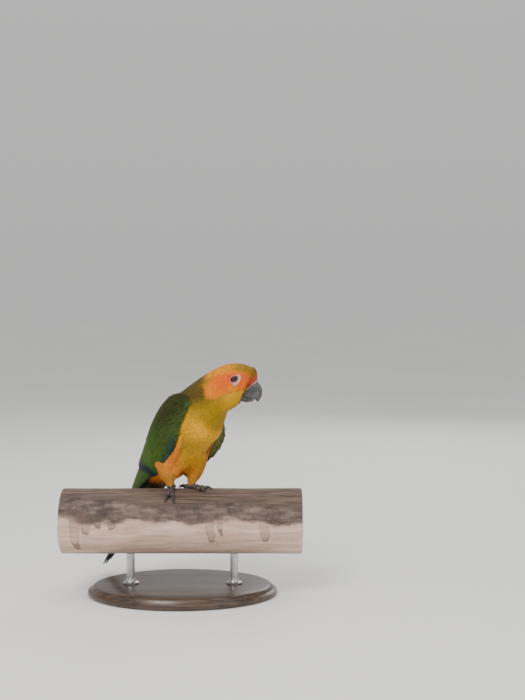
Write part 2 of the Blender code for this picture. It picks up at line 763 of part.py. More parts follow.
def make_stand(group):
    base = rod_along("stand_base", (0.0, 0.0, BASE_THICKNESS / 2 - PERCH_TOP), (0, 0, 1),
                     BASE_WIDTH / 2, BASE_THICKNESS, BASE_SIDES, group)
    for vert in base.data.vertices:
        vert.co.y *= BASE_DEPTH / BASE_WIDTH
    chamfer(base, BASE_CHAMFER)
    parts = [base]
    low = BASE_THICKNESS + GAP - PERCH_TOP
    high = -2 * PERCH_RADIUS + 6.0
    for side, sign in (("left", -1), ("right", 1)):
        rod = rod_along("stand_rod_" + side, (sign * ROD_SPACING / 2, 0.0, (low + high) / 2),
                        (0, 0, 1), ROD_RADIUS, high - low, ROD_SIDES, group)
        seat = rod_along("seat", (0.0, 0.0, -PERCH_RADIUS), (1, 0, 0), PERCH_RADIUS + GAP,
                         PERCH_LENGTH, PERCH_SIDES, group)
        parts.append(combine(rod, [seat], "DIFFERENCE"))
    return parts


def dress(items, material, smooth=True):
    for item in items:
        item.data.materials.clear()
        item.data.materials.append(material)
        if smooth:
            item.data.shade_smooth()
            item.data.set_sharp_from_angle(angle=math.radians(40))


def build():
    clear_scene()
    group = new_collection("sun_conure")
    head = make_head(group)
    neck = body_length("neck", NECK_FRONT + 0.05, TORSO_FRONT - 0.03, 7, group)
    torso = body_length("torso", TORSO_FRONT, TAIL_FRONT - 0.03, 15, group)
    tail = make_tail(group)
    wings = [make_wing(side, group) for side in ("left", "right")]
    legs = [make_leg("left", LEG_LEFT, group), make_leg("right", LEG_RIGHT, group)]
    feet = [make_foot("left", FOOT_LEFT, LEG_LEFT, TOES_LEFT, group),
            make_foot("right", FOOT_RIGHT, LEG_RIGHT, TOES_RIGHT, group)]
    bills = [make_bill_upper(group), make_bill_lower(group)]
    dress([head], finish_material("head_feathers", FEATHER_ORANGE, 0.7))
    dress([neck], finish_material("neck_feathers", FEATHER_OLIVE, 0.7))
    dress([torso, *legs], finish_material("body_feathers", FEATHER_YELLOW, 0.7))
    dress([tail, *wings], finish_material("green_feathers", FEATHER_GREEN, 0.6))
    dress(make_eyes(group), finish_material("eye", EYE_BROWN, 0.08))
    dress(bills, finish_material("bill", BILL_GREY, 0.35))
    dress(feet, finish_material("foot_skin", FOOT_GREY, 0.6))
    dress([make_perch(group)], finish_material("log_wood", LOG_PALE, 0.8))
    dress(make_stand(group), finish_material("stand_metal", STAND_DARK, 0.45))


build()
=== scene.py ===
"""The looks of a life-size green-winged sun conure on its cut of log and its display stand.

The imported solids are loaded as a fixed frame. One skin takes the place of the flesh, feathers are
laid over it as thin vanes, and the bill, eyes, feet, log and stand are modelled as pieces of their
own. Lengths in the tables are millimetres over the log's top line, as in the part's source.
"""

import math

import bpy
import numpy as np
from bpy.props import FloatProperty, FloatVectorProperty, PointerProperty
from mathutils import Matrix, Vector, kdtree, noise

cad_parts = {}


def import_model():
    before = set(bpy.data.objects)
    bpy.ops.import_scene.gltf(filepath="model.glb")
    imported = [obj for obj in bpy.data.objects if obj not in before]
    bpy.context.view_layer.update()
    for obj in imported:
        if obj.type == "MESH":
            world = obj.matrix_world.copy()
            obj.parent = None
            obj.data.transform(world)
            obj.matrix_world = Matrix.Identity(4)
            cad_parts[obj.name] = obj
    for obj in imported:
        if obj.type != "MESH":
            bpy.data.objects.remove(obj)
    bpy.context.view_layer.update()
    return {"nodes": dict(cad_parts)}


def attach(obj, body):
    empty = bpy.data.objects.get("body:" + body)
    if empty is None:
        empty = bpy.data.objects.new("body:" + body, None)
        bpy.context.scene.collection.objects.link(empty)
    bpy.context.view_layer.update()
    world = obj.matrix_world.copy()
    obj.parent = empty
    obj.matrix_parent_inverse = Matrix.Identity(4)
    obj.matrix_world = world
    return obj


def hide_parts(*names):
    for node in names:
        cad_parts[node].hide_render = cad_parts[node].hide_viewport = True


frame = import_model()

bl_info = {
    "name": "Sun Conure Model",
    "version": (1, 0, 0),
    "blender": (4, 5, 0),
    "location": "View3D > Sidebar > Conure",
    "description": "Dresses the solids of a sun conure with skin, feathers, log and stand",
    "category": "Add Mesh",
}

# One millimetre in the scene, then the sizes of the log, the base and the rods in millimetres
MM = 0.001
PERCH_TOP = 106.0
PERCH_RADIUS = 32.7
PERCH_LENGTH = 240.0
BASE_WIDTH = 190.0
BASE_DEPTH = 140.0
ROD_RADIUS = 4.0
ROD_SPACING = 104.0

# The body's cross sections from the bill's base to the root of the tail: place of the centre,
# heading and pitch in degrees, then the reach up, down and to each side
STATIONS = [
    (68.2, -31.5, 104.0, 6, -46, 9.5, 9.0, 7.8),
    (66.9, -31.2, 104.9, 6, -30, 16.2, 16.0, 11.3),
    (62.5, -30.6, 105.1, 6, -18, 19.6, 19.2, 14.3),
    (54.2, -29.2, 104.0, 8, -10, 23.0, 22.2, 17.0),
    (45.0, -26.8, 101.7, 12, 0, 24.0, 23.0, 18.6),
    (38.0, -24.3, 96.0, 18, 11, 25.2, 24.0, 20.0),
    (31.0, -20.7, 89.0, 25, 21, 26.2, 25.0, 22.0),
    (24.0, -16.5, 82.0, 31, 32, 27.2, 26.5, 24.5),
    (13.5, -9.0, 70.0, 38, 44, 30.4, 29.0, 27.0),
    (6.0, -2.5, 62.0, 42, 52.5, 31.0, 29.3, 27.6),
    (0.0, 3.0, 53.0, 42, 52.5, 30.0, 28.8, 27.2),
    (-9.0, 11.1, 37.1, 42, 52.5, 26.8, 25.8, 25.6),
    (-18.1, 19.3, 21.3, 41, 52.5, 22.8, 19.5, 22.0),
    (-25.5, 27.0, 8.6, 40, 52.0, 18.6, 12.0, 16.6),
    (-33.2, 34.4, -4.1, 40, 51.0, 14.6, 8.0, 12.5),
    (-40.2, 40.8, -15.4, 40, 50.5, 10.0, 5.5, 10.0),
    (-47.8, 47.4, -27.8, 40, 50.5, 4.2, 3.4, 8.6),
]
# How far a cross section is from an ellipse, at 2, toward a box, and the station of the tail's root
SECTION_POWER = 2.15
TAIL_BACK = 16.0

# The surface that the folded wings lie on, which leaves the body at the rump
COVER = STATIONS[:8] + [(*row[:5], *reach) for row, reach in zip(STATIONS[8:15], (
    (32.6, 29.0, 27.6), (32.4, 30.5, 28.8), (31.0, 31.0, 28.6), (27.8, 28.0, 27.0),
    (24.0, 19.5, 22.8), (21.0, 14.0, 18.6), (18.2, 10.0, 14.6)))] + [
    (-41.0, 41.6, -16.8, 40, 50.5, 14.6, 8.0, 11.6),
    (-48.8, 48.8, -29.4, 40, 50.5, 11.2, 8.0, 9.4),
    (-55.0, 54.6, -39.6, 40, 50.5, 9.2, 7.0, 7.6),
]

# The folded wing's lower and upper edge, as degrees above the side, at places along the body
WING_EDGES = np.array([
    (7.0, 12.0, 28.0),
    (7.3, 2.0, 46.0),
    (8.0, -10.0, 64.0),
    (9.0, -21.0, 78.0),
    (10.0, -27.0, 85.0),
    (11.0, -30.0, 87.0),
    (12.0, -29.0, 88.0),
    (13.0, -22.0, 88.0),
    (14.0, -12.0, 88.0),
    (15.0, 2.0, 88.0),
    (16.0, 28.0, 88.0),
    (17.0, 62.0, 86.0),
])
# The wing's height over its cover, the distance from its front that holds all its roots, and how
# far its lower edge hangs in degrees and stands off in millimetres, over its first stations
WING_LIFT = 0.45
WING_REACH = 170.0
WING_DROP = {"left": 17.0, "right": 0.0}
WING_FLARE = {"left": 7.0, "right": 0.0}
DROOP_STATIONS = 5.5

TAIL_LENGTH = 96.0
# Each pair of tail feathers from the middle out: share of the length, place to the side and width
RECTRICES = [(1.0, 3.0, 8.2), (0.91, 5.4, 7.8), (0.80, 7.2, 7.2), (0.68, 8.6, 6.8), (0.56, 9.8, 6.2),
             (0.45, 10.6, 5.4)]

# The middle of the face and the ways that it and the bill's root point, in degrees
FACE = (67.0, -31.5, 102.0)
FACE_HEADING = 6.0
BILL_SLOPE = 46.0
# The bill's outer edge and inner edge, each forward and up of the face, then its half width
UPPER_BILL = [
    (7.9, 7.8, -5.2, -3.7, 7.2),
    (11.2, 4.4, -4.2, -5.0, 7.0),
    (12.9, 0.2, -2.1, -6.6, 6.6),
    (13.1, -4.0, 0.8, -8.2, 5.7),
    (12.1, -7.8, 4.2, -9.2, 4.2),
    (10.3, -10.8, 7.2, -10.2, 2.1),
    (8.4, -12.9, 8.1, -12.7, 0.25),
]
LOWER_BILL = [
    (-9.5, -3.5, -9.5, -12.0, 5.6),
    (-5.4, -5.2, -6.2, -12.3, 5.6),
    (-2.6, -7.4, -3.0, -13.0, 5.0),
    (0.6, -9.1, 0.2, -12.9, 4.2),
    (3.2, -9.7, 3.0, -12.4, 3.2),
    (4.9, -10.3, 4.7, -11.6, 1.6),
]

# The eyeball, its place on the body as station and angle, and how deep its middle lies
EYE_RADIUS = 4.3
EYE_STATION = 2.98
EYE_ANGLE = 20.0
EYE_SUNK = 2.7

# Each feathered leg from the body down, as places with a radius
LEG_ROUTES = {
    "left": [((12.0, 4.0, 38.0), 10.5), ((13.6, 4.6, 26.0), 10.4), ((11.6, 3.8, 15.0), 8.2),
             ((9.8, 1.6, 8.2), 5.2)],
    "right": [((-15.0, -1.0, 36.0), 9.4), ((-15.6, -6.2, 25.0), 10.4), ((-13.4, -9.0, 15.0), 8.2),
              ((-11.8, -9.6, 8.6), 5.2)],
}
# Each foot's place along the log and its turn toward the viewer, then its toes' directions and lengths
FEET = {"left": (10.5, 1.0), "right": (-11.0, 16.0)}
TOES = {
    "left": [(18.0, 15.0), (47.0, 13.0), (196.0, 9.0), (226.0, 13.5)],
    "right": [(78.0, 14.5), (103.0, 13.0), (256.0, 13.5), (286.0, 9.0)],
}
TOE_RADIUS = 2.1
CLAW_LENGTH = 7.0
SHANK_RADIUS = 2.6

SIDES = ("left", "right")

# Degrees between the places round a form at which its draping over the thighs is worked out
DRAPE_STEP = 3.0

# The point colours of a mesh, and the unwrap of each feather from side to side and root to tip
INK = "Plumage"
VANE = "Vane"


def colour_setting(name, description, value):
    return FloatVectorProperty(name=name, description=description, subtype="COLOR", size=3,
                               min=0.0, max=1.0, default=value)


def length_setting(name, description, value):
    return FloatProperty(name=name, description=description, subtype="DISTANCE", unit="LENGTH",
                         min=0.0, default=value)


class ConurePlumage(bpy.types.PropertyGroup):
    """Colours of the plumage, as plain paint values without light."""

    front: colour_setting("Frontal spot", "Small feathers over the bill", (0.60, 0.084, 0.044))
    crown: colour_setting("Crown", "Top and back of the head", (0.76, 0.285, 0.004))
    fore: colour_setting("Forehead", "Olive wash of the forehead", (0.28, 0.158, 0.012))
    cheek: colour_setting("Cheek", "Round the eye and over the ear", (0.84, 0.130, 0.008))
    ear: colour_setting("Ear", "Back edge of the cheek", (0.84, 0.240, 0.004))
    jaw: colour_setting("Jaw", "Under the cheek", (0.66, 0.345, 0.006))
    throat: colour_setting("Throat", "Chin and front of the neck", (0.375, 0.225, 0.004))
    nape: colour_setting("Nape", "Back and sides of the neck", (0.104, 0.068, 0.008))
    breast: colour_setting("Breast", "Golden breast", (0.62, 0.315, 0.008))
    gold: colour_setting("Bright breast", "Brightest part of the breast", (0.98, 0.450, 0.008))
    belly: colour_setting("Belly", "Orange belly and flanks", (0.80, 0.250, 0.024))
    flank: colour_setting("Flank", "Beside the lower edge of the wing", (0.70, 0.190, 0.016))
    thigh: colour_setting("Thighs", "Feathered legs", (0.54, 0.215, 0.024))
    # The vent colour is the undertail's olive, darkened with painted shade under the body.
    vent: colour_setting("Vent", "Under the root of the tail", (0.055, 0.040, 0.010))
    fleck: colour_setting("Flecks", "Green flecks of a young bird", (0.18, 0.165, 0.018))
    mantle: colour_setting("Mantle", "Back between the wings", (0.050, 0.050, 0.003))
    wing_dark: colour_setting("Shoulder", "Upper wing coverts", (0.032, 0.039, 0.004))
    wing_green: colour_setting("Wing", "Lower wing coverts", (0.046, 0.116, 0.004))
    wing_under: colour_setting("Wing lining", "Underside of the wing", (0.500, 0.640, 0.280))
    wing_blue: colour_setting("Wing edge", "Blue of the wing's lower edge", (0.009, 0.038, 0.036))
    wing_band: colour_setting("Wing band", "Tips of the secondaries", (0.002, 0.011, 0.034))
    tail_green: colour_setting("Tail", "Root of the tail", (0.060, 0.115, 0.004))
    tail_tip: colour_setting("Tail tip", "End of the tail", (0.006, 0.010, 0.014))


class ConureCoat(bpy.types.PropertyGroup):
    """Sizes of the feather coat."""

    head_gap: length_setting("Head row gap", "Distance between rows of head feathers", 0.00105)
    neck_gap: length_setting("Neck row gap", "Distance between rows of neck feathers", 0.0017)
    body_gap: length_setting("Body row gap", "Distance between rows of body feathers", 0.0025)
    overlap: FloatProperty(name="Overlap", description="Feather length as a multiple of the row gap",
                           min=1.0, default=3.9)
    depth_head: length_setting("Head coat depth", "How deep the skin lies under the head's coat", 0.0008)
    depth_body: length_setting("Body coat depth", "How deep the skin lies under the body's coat", 0.0016)


class ConureStage(bpy.types.PropertyGroup):
    """Floor, camera and light."""

    floor_size: length_setting("Floor size", "Width of the pale floor", 60.0)
    camera_height: length_setting("Camera height", "Height of the camera over the floor", 0.278)
    camera_distance: length_setting("Camera distance", "From the log's axis to the camera", 1.100)
    camera_side: length_setting("Camera side", "How far the camera stands to the right", 0.0805)
    camera_tilt: FloatProperty(name="Camera tilt", description="How far the camera looks down",
                               subtype="ANGLE", default=math.radians(1.72))
    camera_lens: FloatProperty(name="Camera lens", description="Focal length on a 36 mm wide sensor",
                               unit="CAMERA", min=1.0, default=56.57)


def settings():
    return bpy.context.scene


def millimetres(value):
    return value / MM


def plain_rgb(colour):
    """A colour setting as an array of red, green and blue."""
    return np.array(tuple(colour), dtype=float)


def unit(vectors):
    return vectors / np.maximum(np.linalg.norm(vectors, axis=-1, keepdims=True), 1e-9)


def smooth(x, low, high):
    """A soft step from 0 at low to 1 at high."""
    t = np.clip((np.asarray(x, float) - low) / (high - low), 0.0, 1.0)
    return t * t * (3 - 2 * t)


def mixed(first, second, share):
    """The first colour where the share is 0 and the second where it is 1."""
    share = np.asarray(share, float)[..., None]
    return first * (1 - share) + second * share


def through(table, knots, places):
    """Rows on a smooth curve through the rows of a table, at places between its knots."""
    slopes = np.gradient(table, knots, axis=0)
    k = np.clip(np.searchsorted(knots, places) - 1, 0, len(knots) - 2)
    span = (knots[k + 1] - knots[k])[..., None]
    f = (places - knots[k])[..., None] / span
    start = table[k] * (1 + 2 * f) * (1 - f) ** 2 + slopes[k] * span * f * (1 - f) ** 2
    end = table[k + 1] * f * f * (3 - 2 * f) + slopes[k + 1] * span * f * f * (f - 1)
    return start + end


def eased(values, count):
    """A longer table of smooth rows through the given rows."""
    table = np.array(values, dtype=float)
    return through(table, np.arange(len(table), dtype=float), np.linspace(0, len(table) - 1, count))


class Form:
    """A bent body given by cross sections. A point on it is a station u and an angle v in degrees."""

    def __init__(self, table):
        self.table = np.array(table, dtype=float)
        steps = np.linalg.norm(np.diff(self.table[:, :3], axis=0), axis=1)
        self.knots = np.concatenate([[0.0], np.cumsum(steps)])
        self.swell = None

    def drape(self, soft, limit):
        """Raises the surface over the thighs, so that a coat laid on it flows over their tops."""
        u = np.linspace(0.0, len(self.table) - 1.0, 171)
        v = np.arange(0.0, 361.0, DRAPE_STEP)
        grid_u, grid_v = np.meshgrid(u, v, indexing="ij")
        base, out = self.skin(grid_u, grid_v), self.out(grid_u, grid_v)
        height = np.zeros(grid_u.shape)
        for _ in range(14):
            far = thigh_distance(base + out * height[..., None])
            near = np.minimum(height, far)
            near = near - np.maximum(soft - np.abs(height - far), 0.0) ** 2 / (4 * soft)
            height = np.clip(height - 0.8 * near, 0.0, limit)
        self.swell = height

    def raised(self, u, v):
        """The height of the draped surface over the plain one."""
        if self.swell is None:
            return np.zeros(u.shape)
        x = np.clip(u, 0.0, len(self.table) - 1.0) * (self.swell.shape[0] - 1) / (len(self.table) - 1.0)
        y = (v % 360.0) / DRAPE_STEP
        i = np.minimum(x.astype(int), self.swell.shape[0] - 2)
        j = np.minimum(y.astype(int), self.swell.shape[1] - 2)
        fx, fy = x - i, y - j
        return ((self.swell[i, j] * (1 - fx) + self.swell[i + 1, j] * fx) * (1 - fy)
                + (self.swell[i, j + 1] * (1 - fx) + self.swell[i + 1, j + 1] * fx) * fy)

    def rows(self, u):
        return through(self.table, self.knots, np.interp(u, np.arange(len(self.table)), self.knots))

    def frames(self, u):
        row = self.rows(u)
        heading = np.radians(row[..., 3])[..., None]
        pitch = np.radians(row[..., 4])[..., None]
        level = np.concatenate([np.cos(heading), -np.sin(heading), 0 * heading], axis=-1)
        forward = level * np.cos(pitch) + np.array([0.0, 0.0, 1.0]) * np.sin(pitch)
        up = level * -np.sin(pitch) + np.array([0.0, 0.0, 1.0]) * np.cos(pitch)
        left = np.concatenate([np.sin(heading), np.cos(heading), 0 * heading], axis=-1)
        return row, forward, left, up

    def skin(self, u, v):
        u, v = np.broadcast_arrays(np.asarray(u, float), np.asarray(v, float))
        row, _, left, up = self.frames(u)
        angle = np.radians(v)
        across = np.sign(np.cos(angle)) * np.abs(np.cos(angle)) ** (2 / SECTION_POWER)
        along = np.sign(np.sin(angle)) * np.abs(np.sin(angle)) ** (2 / SECTION_POWER)
        reach = np.where(along > 0, row[..., 5], row[..., 6])
        return row[..., :3] + left * (across * row[..., 7])[..., None] + up * (along * reach)[..., None]

    def out(self, u, v):
        along = self.skin(u + 0.05, v) - self.skin(u - 0.05, v)
        around = self.skin(u, v + 2.0) - self.skin(u, v - 2.0)
        return unit(np.cross(along, around))

    def at(self, u, v, lift=0.0):
        u, v, lift = np.broadcast_arrays(np.asarray(u, float), np.asarray(v, float), lift)
        return self.skin(u, v) + self.out(u, v) * (lift + self.raised(u, v))[..., None]


class Limb:
    """A feathered leg: a round tube along a route. A point on it is a knot u and an angle v."""

    def __init__(self, route):
        self.table = np.array([(*place, radius) for place, radius in route], dtype=float)
        self.knots = np.arange(len(self.table), dtype=float)

    def rows(self, u):
        return through(self.table, self.knots, u)

    def out(self, u, v):
        u, v = np.broadcast_arrays(np.asarray(u, float), np.asarray(v, float))
        down = unit(self.rows(u + 0.02)[..., :3] - self.rows(u - 0.02)[..., :3])
        side = unit(np.cross(down, np.broadcast_to([0.0, 1.0, 0.0], down.shape)))
        front = np.cross(side, down)
        angle = np.radians(v)[..., None]
        return side * np.cos(angle) + front * np.sin(angle)

    def at(self, u, v, lift=0.0):
        u, v, lift = np.broadcast_arrays(np.asarray(u, float), np.asarray(v, float), lift)
        row = self.rows(u)
        return row[..., :3] + self.out(u, v) * (row[..., 3] + lift)[..., None]


class Wing:
    """A folded wing on the cover. A point on it is a station u and a place f from its lower edge."""

    def __init__(self, side):
        self.side = side

    def place(self, u, f):
        low = np.interp(u, WING_EDGES[:, 0], WING_EDGES[:, 1])
        high = np.interp(u, WING_EDGES[:, 0], WING_EDGES[:, 2])
        along = np.clip((u - WING_EDGES[0, 0]) / DROOP_STATIONS, 0.0, 1.0)
        droop = np.sin(np.pi * along) * (1.0 - f) ** 2
        angle = low + (high - low) * f - WING_DROP[self.side] * droop
        flare = WING_FLARE[self.side] * np.sin(np.pi * along ** 0.7) * (1.0 - f) ** 2
        return (angle if self.side == "left" else 180.0 - angle), flare

    def out(self, u, f):
        u, f = np.broadcast_arrays(u, f)
        return COVER_FORM.out(u, self.place(u, f)[0])

    def at(self, u, f, lift=0.0):
        u, f, lift = np.broadcast_arrays(u, f, lift)
        angle, flare = self.place(u, f)
        return COVER_FORM.at(u, angle, WING_LIFT + flare + lift)


class Fan:
    """The plane that the tail spreads in. A point is millimetres behind its root and to its left."""

    def __init__(self):
        row, self.forward, self.left, self.up = BODY_FORM.frames(np.array(TAIL_BACK))
        self.centre = row[:3]

    def at(self, u, v, lift):
        u, v, lift = (a[..., None] for a in np.broadcast_arrays(u, v, lift))
        return self.centre - self.forward * u + self.left * v + self.up * lift


def thigh_distance(points):
    """How far points lie outside the thighs."""
    nearest = np.full(points.shape[:-1], 1e9)
    for side in SIDES:
        for row in Limb(LEG_ROUTES[side]).rows(np.linspace(0.0, 3.0, 31)):
            nearest = np.minimum(nearest, np.linalg.norm(points - row[:3], axis=-1) - row[3])
    return nearest


BODY_FORM = Form(STATIONS)
COVER_FORM = Form(COVER)
FLANK_FORM = Form(COVER)
BODY_FORM.drape(7.0, 7.0)
FLANK_FORM.drape(7.0, 9.0)


def world(points):
    """Points over the log's top line in millimetres, as places in the scene."""
    return (np.asarray(points, float) + np.array([0.0, 0.0, PERCH_TOP])) * MM


def only(item):
    """Selects one object and makes it active."""
    if bpy.context.object is not None and bpy.context.object.mode != "OBJECT":
        bpy.ops.object.mode_set(mode="OBJECT")
    bpy.ops.object.select_all(action="DESELECT")
    item.select_set(True)
    bpy.context.view_layer.objects.active = item


def primitive(make, **options):
    """A new object from one of Blender's primitives, with nothing else selected."""
    bpy.ops.object.select_all(action="DESELECT")
    make(**options)
    return bpy.context.object


def store(layer, key, values):
    """Writes a value for every element of a mesh layer at once."""
    layer.foreach_set(key, values.astype(np.float32).ravel())


def apply_all(item):
    only(item)
    for change in list(item.modifiers):
        bpy.ops.object.modifier_apply(modifier=change.name)


def settle(item):
    """Puts a finished piece's place into its mesh."""
    only(item)
    bpy.ops.object.transform_apply(location=True, rotation=True, scale=True)
    return item


def turned_to(item, turn):
    """Gives a piece its turn and puts it into the mesh."""
    item.rotation_mode = "QUATERNION"
    item.rotation_quaternion = turn
    return settle(item)


def shade(item, degrees=60.0):
    only(item)
    bpy.ops.object.shade_smooth_by_angle(angle=math.radians(degrees))
    return item


def face_outwards(item):
    only(item)
    bpy.ops.object.mode_set(mode="EDIT")
    bpy.ops.mesh.select_all(action="SELECT")
    bpy.ops.mesh.normals_make_consistent(inside=False)
    bpy.ops.object.mode_set(mode="OBJECT")


def wrapped(name, rings):
    """A grid primitive whose rows are moved to rings of points, sewn along its seam and at its ends.

    The grid's own unwrap stays: x runs round each ring and y from the first ring to the last.
    """
    rings = np.asarray(rings, float)
    rings = np.concatenate([rings, rings[:, :1]], axis=1)
    count, around = rings.shape[:2]
    item = primitive(bpy.ops.mesh.primitive_grid_add, x_subdivisions=around - 1,
                     y_subdivisions=count - 1, size=1.0)
    item.name = name
    item.data.name = name
    store(item.data.vertices, "co", world(rings))
    only(item)
    bpy.ops.object.mode_set(mode="EDIT")
    bpy.ops.mesh.select_all(action="SELECT")
    bpy.ops.mesh.remove_doubles(threshold=1e-6)
    bpy.ops.mesh.select_all(action="DESELECT")
    bpy.ops.mesh.select_non_manifold(extend=False)
    bpy.ops.mesh.edge_face_add()
    bpy.ops.object.mode_set(mode="OBJECT")
    face_outwards(item)
    return item


def full_turn(sides):
    """Angles round a ring."""
    return np.arange(sides) * 2 * np.pi / sides


def rings_along(points, side, top, reach, turn):
    """Rings that stand across a route, with their reach at each turn from side to top."""
    return (points[:, None] + side[:, None] * (reach * np.cos(turn))[..., None]
            + top[:, None] * (reach * np.sin(turn))[..., None])


def swept(name, points, radii, sides, upward=(0.0, 0.0, 1.0), flatten=1.0):
    """A round tube along points, whose sections may be flattened."""
    along = unit(np.gradient(points, axis=0))
    side = unit(np.cross(along, np.broadcast_to(upward, along.shape)))
    top = np.cross(side, along) * flatten
    return wrapped(name, rings_along(points, side, top, radii[:, None], full_turn(sides)))


def joined(name, items):
    """One object of several."""
    bpy.ops.object.select_all(action="DESELECT")
    for item in items:
        item.select_set(True)
    bpy.context.view_layer.objects.active = items[0]
    bpy.ops.object.join()
    item = bpy.context.object
    item.name = name
    item.data.name = name
    return item


def united(item, others):
    """The union of closed pieces."""
    for other in others:
        change = item.modifiers.new("join", "BOOLEAN")
        change.operation = "UNION"
        change.object = other
        change.solver = "EXACT"
    apply_all(item)
    for other in others:
        bpy.data.objects.remove(other, do_unlink=True)
    return item


def keep(item, material, slot, *nodes):
    """Finishes a piece: its material, the body it rides on and the solids it stands for. The slot argument is
    not used.
    """
    item.data.materials.clear()
    item.data.materials.append(material)
    settle(item)
    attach(item, "root")
    if nodes:
        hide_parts(*nodes)
    return item


def paint(item, colours):
    """Stores one colour for each point of a mesh."""
    layer = item.data.color_attributes.get(INK)
    if layer is None:
        layer = item.data.color_attributes.new(INK, "FLOAT_COLOR", "POINT")
    full = np.concatenate([np.clip(colours, 0.0, 1.0), np.ones((len(colours), 1))], axis=1)
    store(layer.data, "color", full)


class Tree:
    """A material's nodes, written as calls that return sockets."""

    def __init__(self, name):
        self.material = bpy.data.materials.get(name) or bpy.data.materials.new(name)
        self.material.use_nodes = True
        self.tree = self.material.node_tree
        self.tree.nodes.clear()
        self.shader = self.tree.nodes.new("ShaderNodeBsdfPrincipled")
        end = self.tree.nodes.new("ShaderNodeOutputMaterial")
        self.tree.links.new(self.shader.outputs[0], end.inputs["Surface"])

    def put(self, socket, value):
        if isinstance(value, bpy.types.NodeSocket):
            self.tree.links.new(value, socket)
        elif socket.type == "RGBA":
            socket.default_value = (*value, 1.0)
        else:
            socket.default_value = value

    def add(self, kind, inputs=(), output=0, **options):
        made = self.tree.nodes.new(kind)
        for key, value in options.items():
            setattr(made, key, value)
        for key, value in dict(inputs).items():
            self.put(made.inputs[key], value)
        return made.outputs[output]

    def place(self):
        return self.add("ShaderNodeTexCoord", output="Object")

    def ink(self):
        return self.add("ShaderNodeAttribute", attribute_name=INK)

    def uv(self, name="UVMap"):
        return self.add("ShaderNodeUVMap", uv_map=name)

    def axes(self, vector):
        made = self.tree.nodes.new("ShaderNodeSeparateXYZ")
        self.put(made.inputs[0], vector)
        return made.outputs[0], made.outputs[1], made.outputs[2]

    def vector(self, x, y=0.0):
        return self.add("ShaderNodeCombineXYZ", {0: x, 1: y})

    def math(self, operation, a, b=0.0, c=0.0):
        return self.add("ShaderNodeMath", {0: a, 1: b, 2: c}, operation=operation)

    def plus(self, a, b):
        return self.math("ADD", a, b)

    def minus(self, a, b):
        return self.math("SUBTRACT", a, b)

    def times(self, a, b):
        return self.math("MULTIPLY", a, b)

    def ramp(self, value, low, high, first=0.0, last=1.0):
        return self.add("ShaderNodeMapRange", {"Value": value, "From Min": low, "From Max": high,
                                               "To Min": first, "To Max": last},
                        interpolation_type="SMOOTHSTEP")

    def noise(self, vector, scale, detail, roughness=0.55):
        """Soft noise, with one scale or with one for each axis."""
        if not isinstance(scale, float):
            vector = self.add("ShaderNodeMapping", {"Vector": vector, "Scale": scale})
            scale = 1.0
        return self.add("ShaderNodeTexNoise", {"Vector": vector, "Scale": scale, "Detail": detail,
                                               "Roughness": roughness})

    def cells(self, vector, scale):
        """How far a point lies inside its cell."""
        return self.add("ShaderNodeTexVoronoi", {"Vector": vector, "Scale": scale},
                        feature="DISTANCE_TO_EDGE")

    def mix(self, share, first, second, kind="MIX"):
        return self.add("ShaderNodeMix", {0: share, 6: first, 7: second}, output=2, data_type="RGBA",
                        blend_type=kind)

    def bump(self, height, strength, distance):
        return self.add("ShaderNodeBump", {"Height": height, "Strength": strength, "Distance": distance})

    def finish(self, **values):
        for key, value in values.items():
            self.put(self.shader.inputs[key.replace("_", " ")], value)
        return self.material


# Pairs of light and dark barbs along one feather
BARBS = {"plumage_small": 11.0, "plumage_body": 26.0, "plumage_quill": 34.0}


def feather_material(name):
    """Plumage colour with slanting barbs and soft mottling, and a dark shaft on the quills."""
    t = Tree(name)
    quill = name == "plumage_quill"
    roughness = 0.6 if quill else 0.8
    across, along, _ = t.axes(t.uv(VANE))
    off = t.math("ABSOLUTE", t.minus(across, 0.5))
    slant = t.minus(t.times(along, BARBS[name]), t.times(off, BARBS[name] * 0.5))
    barbs = t.math("MULTIPLY_ADD", t.math("SINE", t.times(slant, math.tau)), 0.5, 0.5)
    place = t.place()
    cloud = t.noise(place, 420.0, 4.0)
    grain = t.noise(place, 2600.0, 2.0)
    shaded = t.mix(t.ramp(cloud, 0.3, 0.7, 0.0, 0.30), t.ink(), (0.25, 0.25, 0.25), "SOFT_LIGHT")
    shaded = t.mix(t.ramp(barbs, 0.0, 1.0, 0.16, 0.0), shaded, (0.0, 0.0, 0.0))
    if quill:
        shaded = t.mix(t.ramp(off, 0.012, 0.035, 0.62, 0.0), shaded, (0.012, 0.010, 0.008))
    height = t.plus(t.times(barbs, 0.7), t.times(grain, 0.6))
    gloss = t.ramp(cloud, 0.25, 0.75, roughness - 0.07, roughness + 0.07)
    return t.finish(Base_Color=shaded, Roughness=gloss, Normal=t.bump(height, 0.45, 0.00012),
                    Sheen_Weight=0.02 if quill else 0.04, Sheen_Roughness=0.45, Specular_IOR_Level=0.2)


def skin_material():
    """Pale downy skin under the coat, in the coat's own colours."""
    t = Tree("plumage_down")
    place = t.place()
    cloud = t.noise(place, 300.0, 5.0)
    down = t.noise(place, (1500.0, 1500.0, 525.0), 3.0)
    shaded = t.mix(t.ramp(cloud, 0.3, 0.7, 0.0, 0.25), t.ink(), (0.02, 0.016, 0.01))
    return t.finish(Base_Color=shaded, Roughness=0.9, Normal=t.bump(down, 0.6, 0.0004))


def bare_skin_material():
    """Bare skin with fine creases and pinker blotches."""
    t = Tree("bare_skin")
    place = t.place()
    creases = t.cells(place, 1500.0)
    blotch = t.noise(place, 500.0, 3.0)
    shaded = t.mix(t.ramp(blotch, 0.35, 0.7, 0.0, 0.35), t.ink(), (0.50, 0.25, 0.19))
    height = t.plus(t.ramp(creases, 0.0, 0.25), t.times(blotch, 0.5))
    return t.finish(Base_Color=shaded, Roughness=0.55, Normal=t.bump(height, 0.35, 0.00012),
                    Subsurface_Weight=0.15, Subsurface_Scale=0.001)


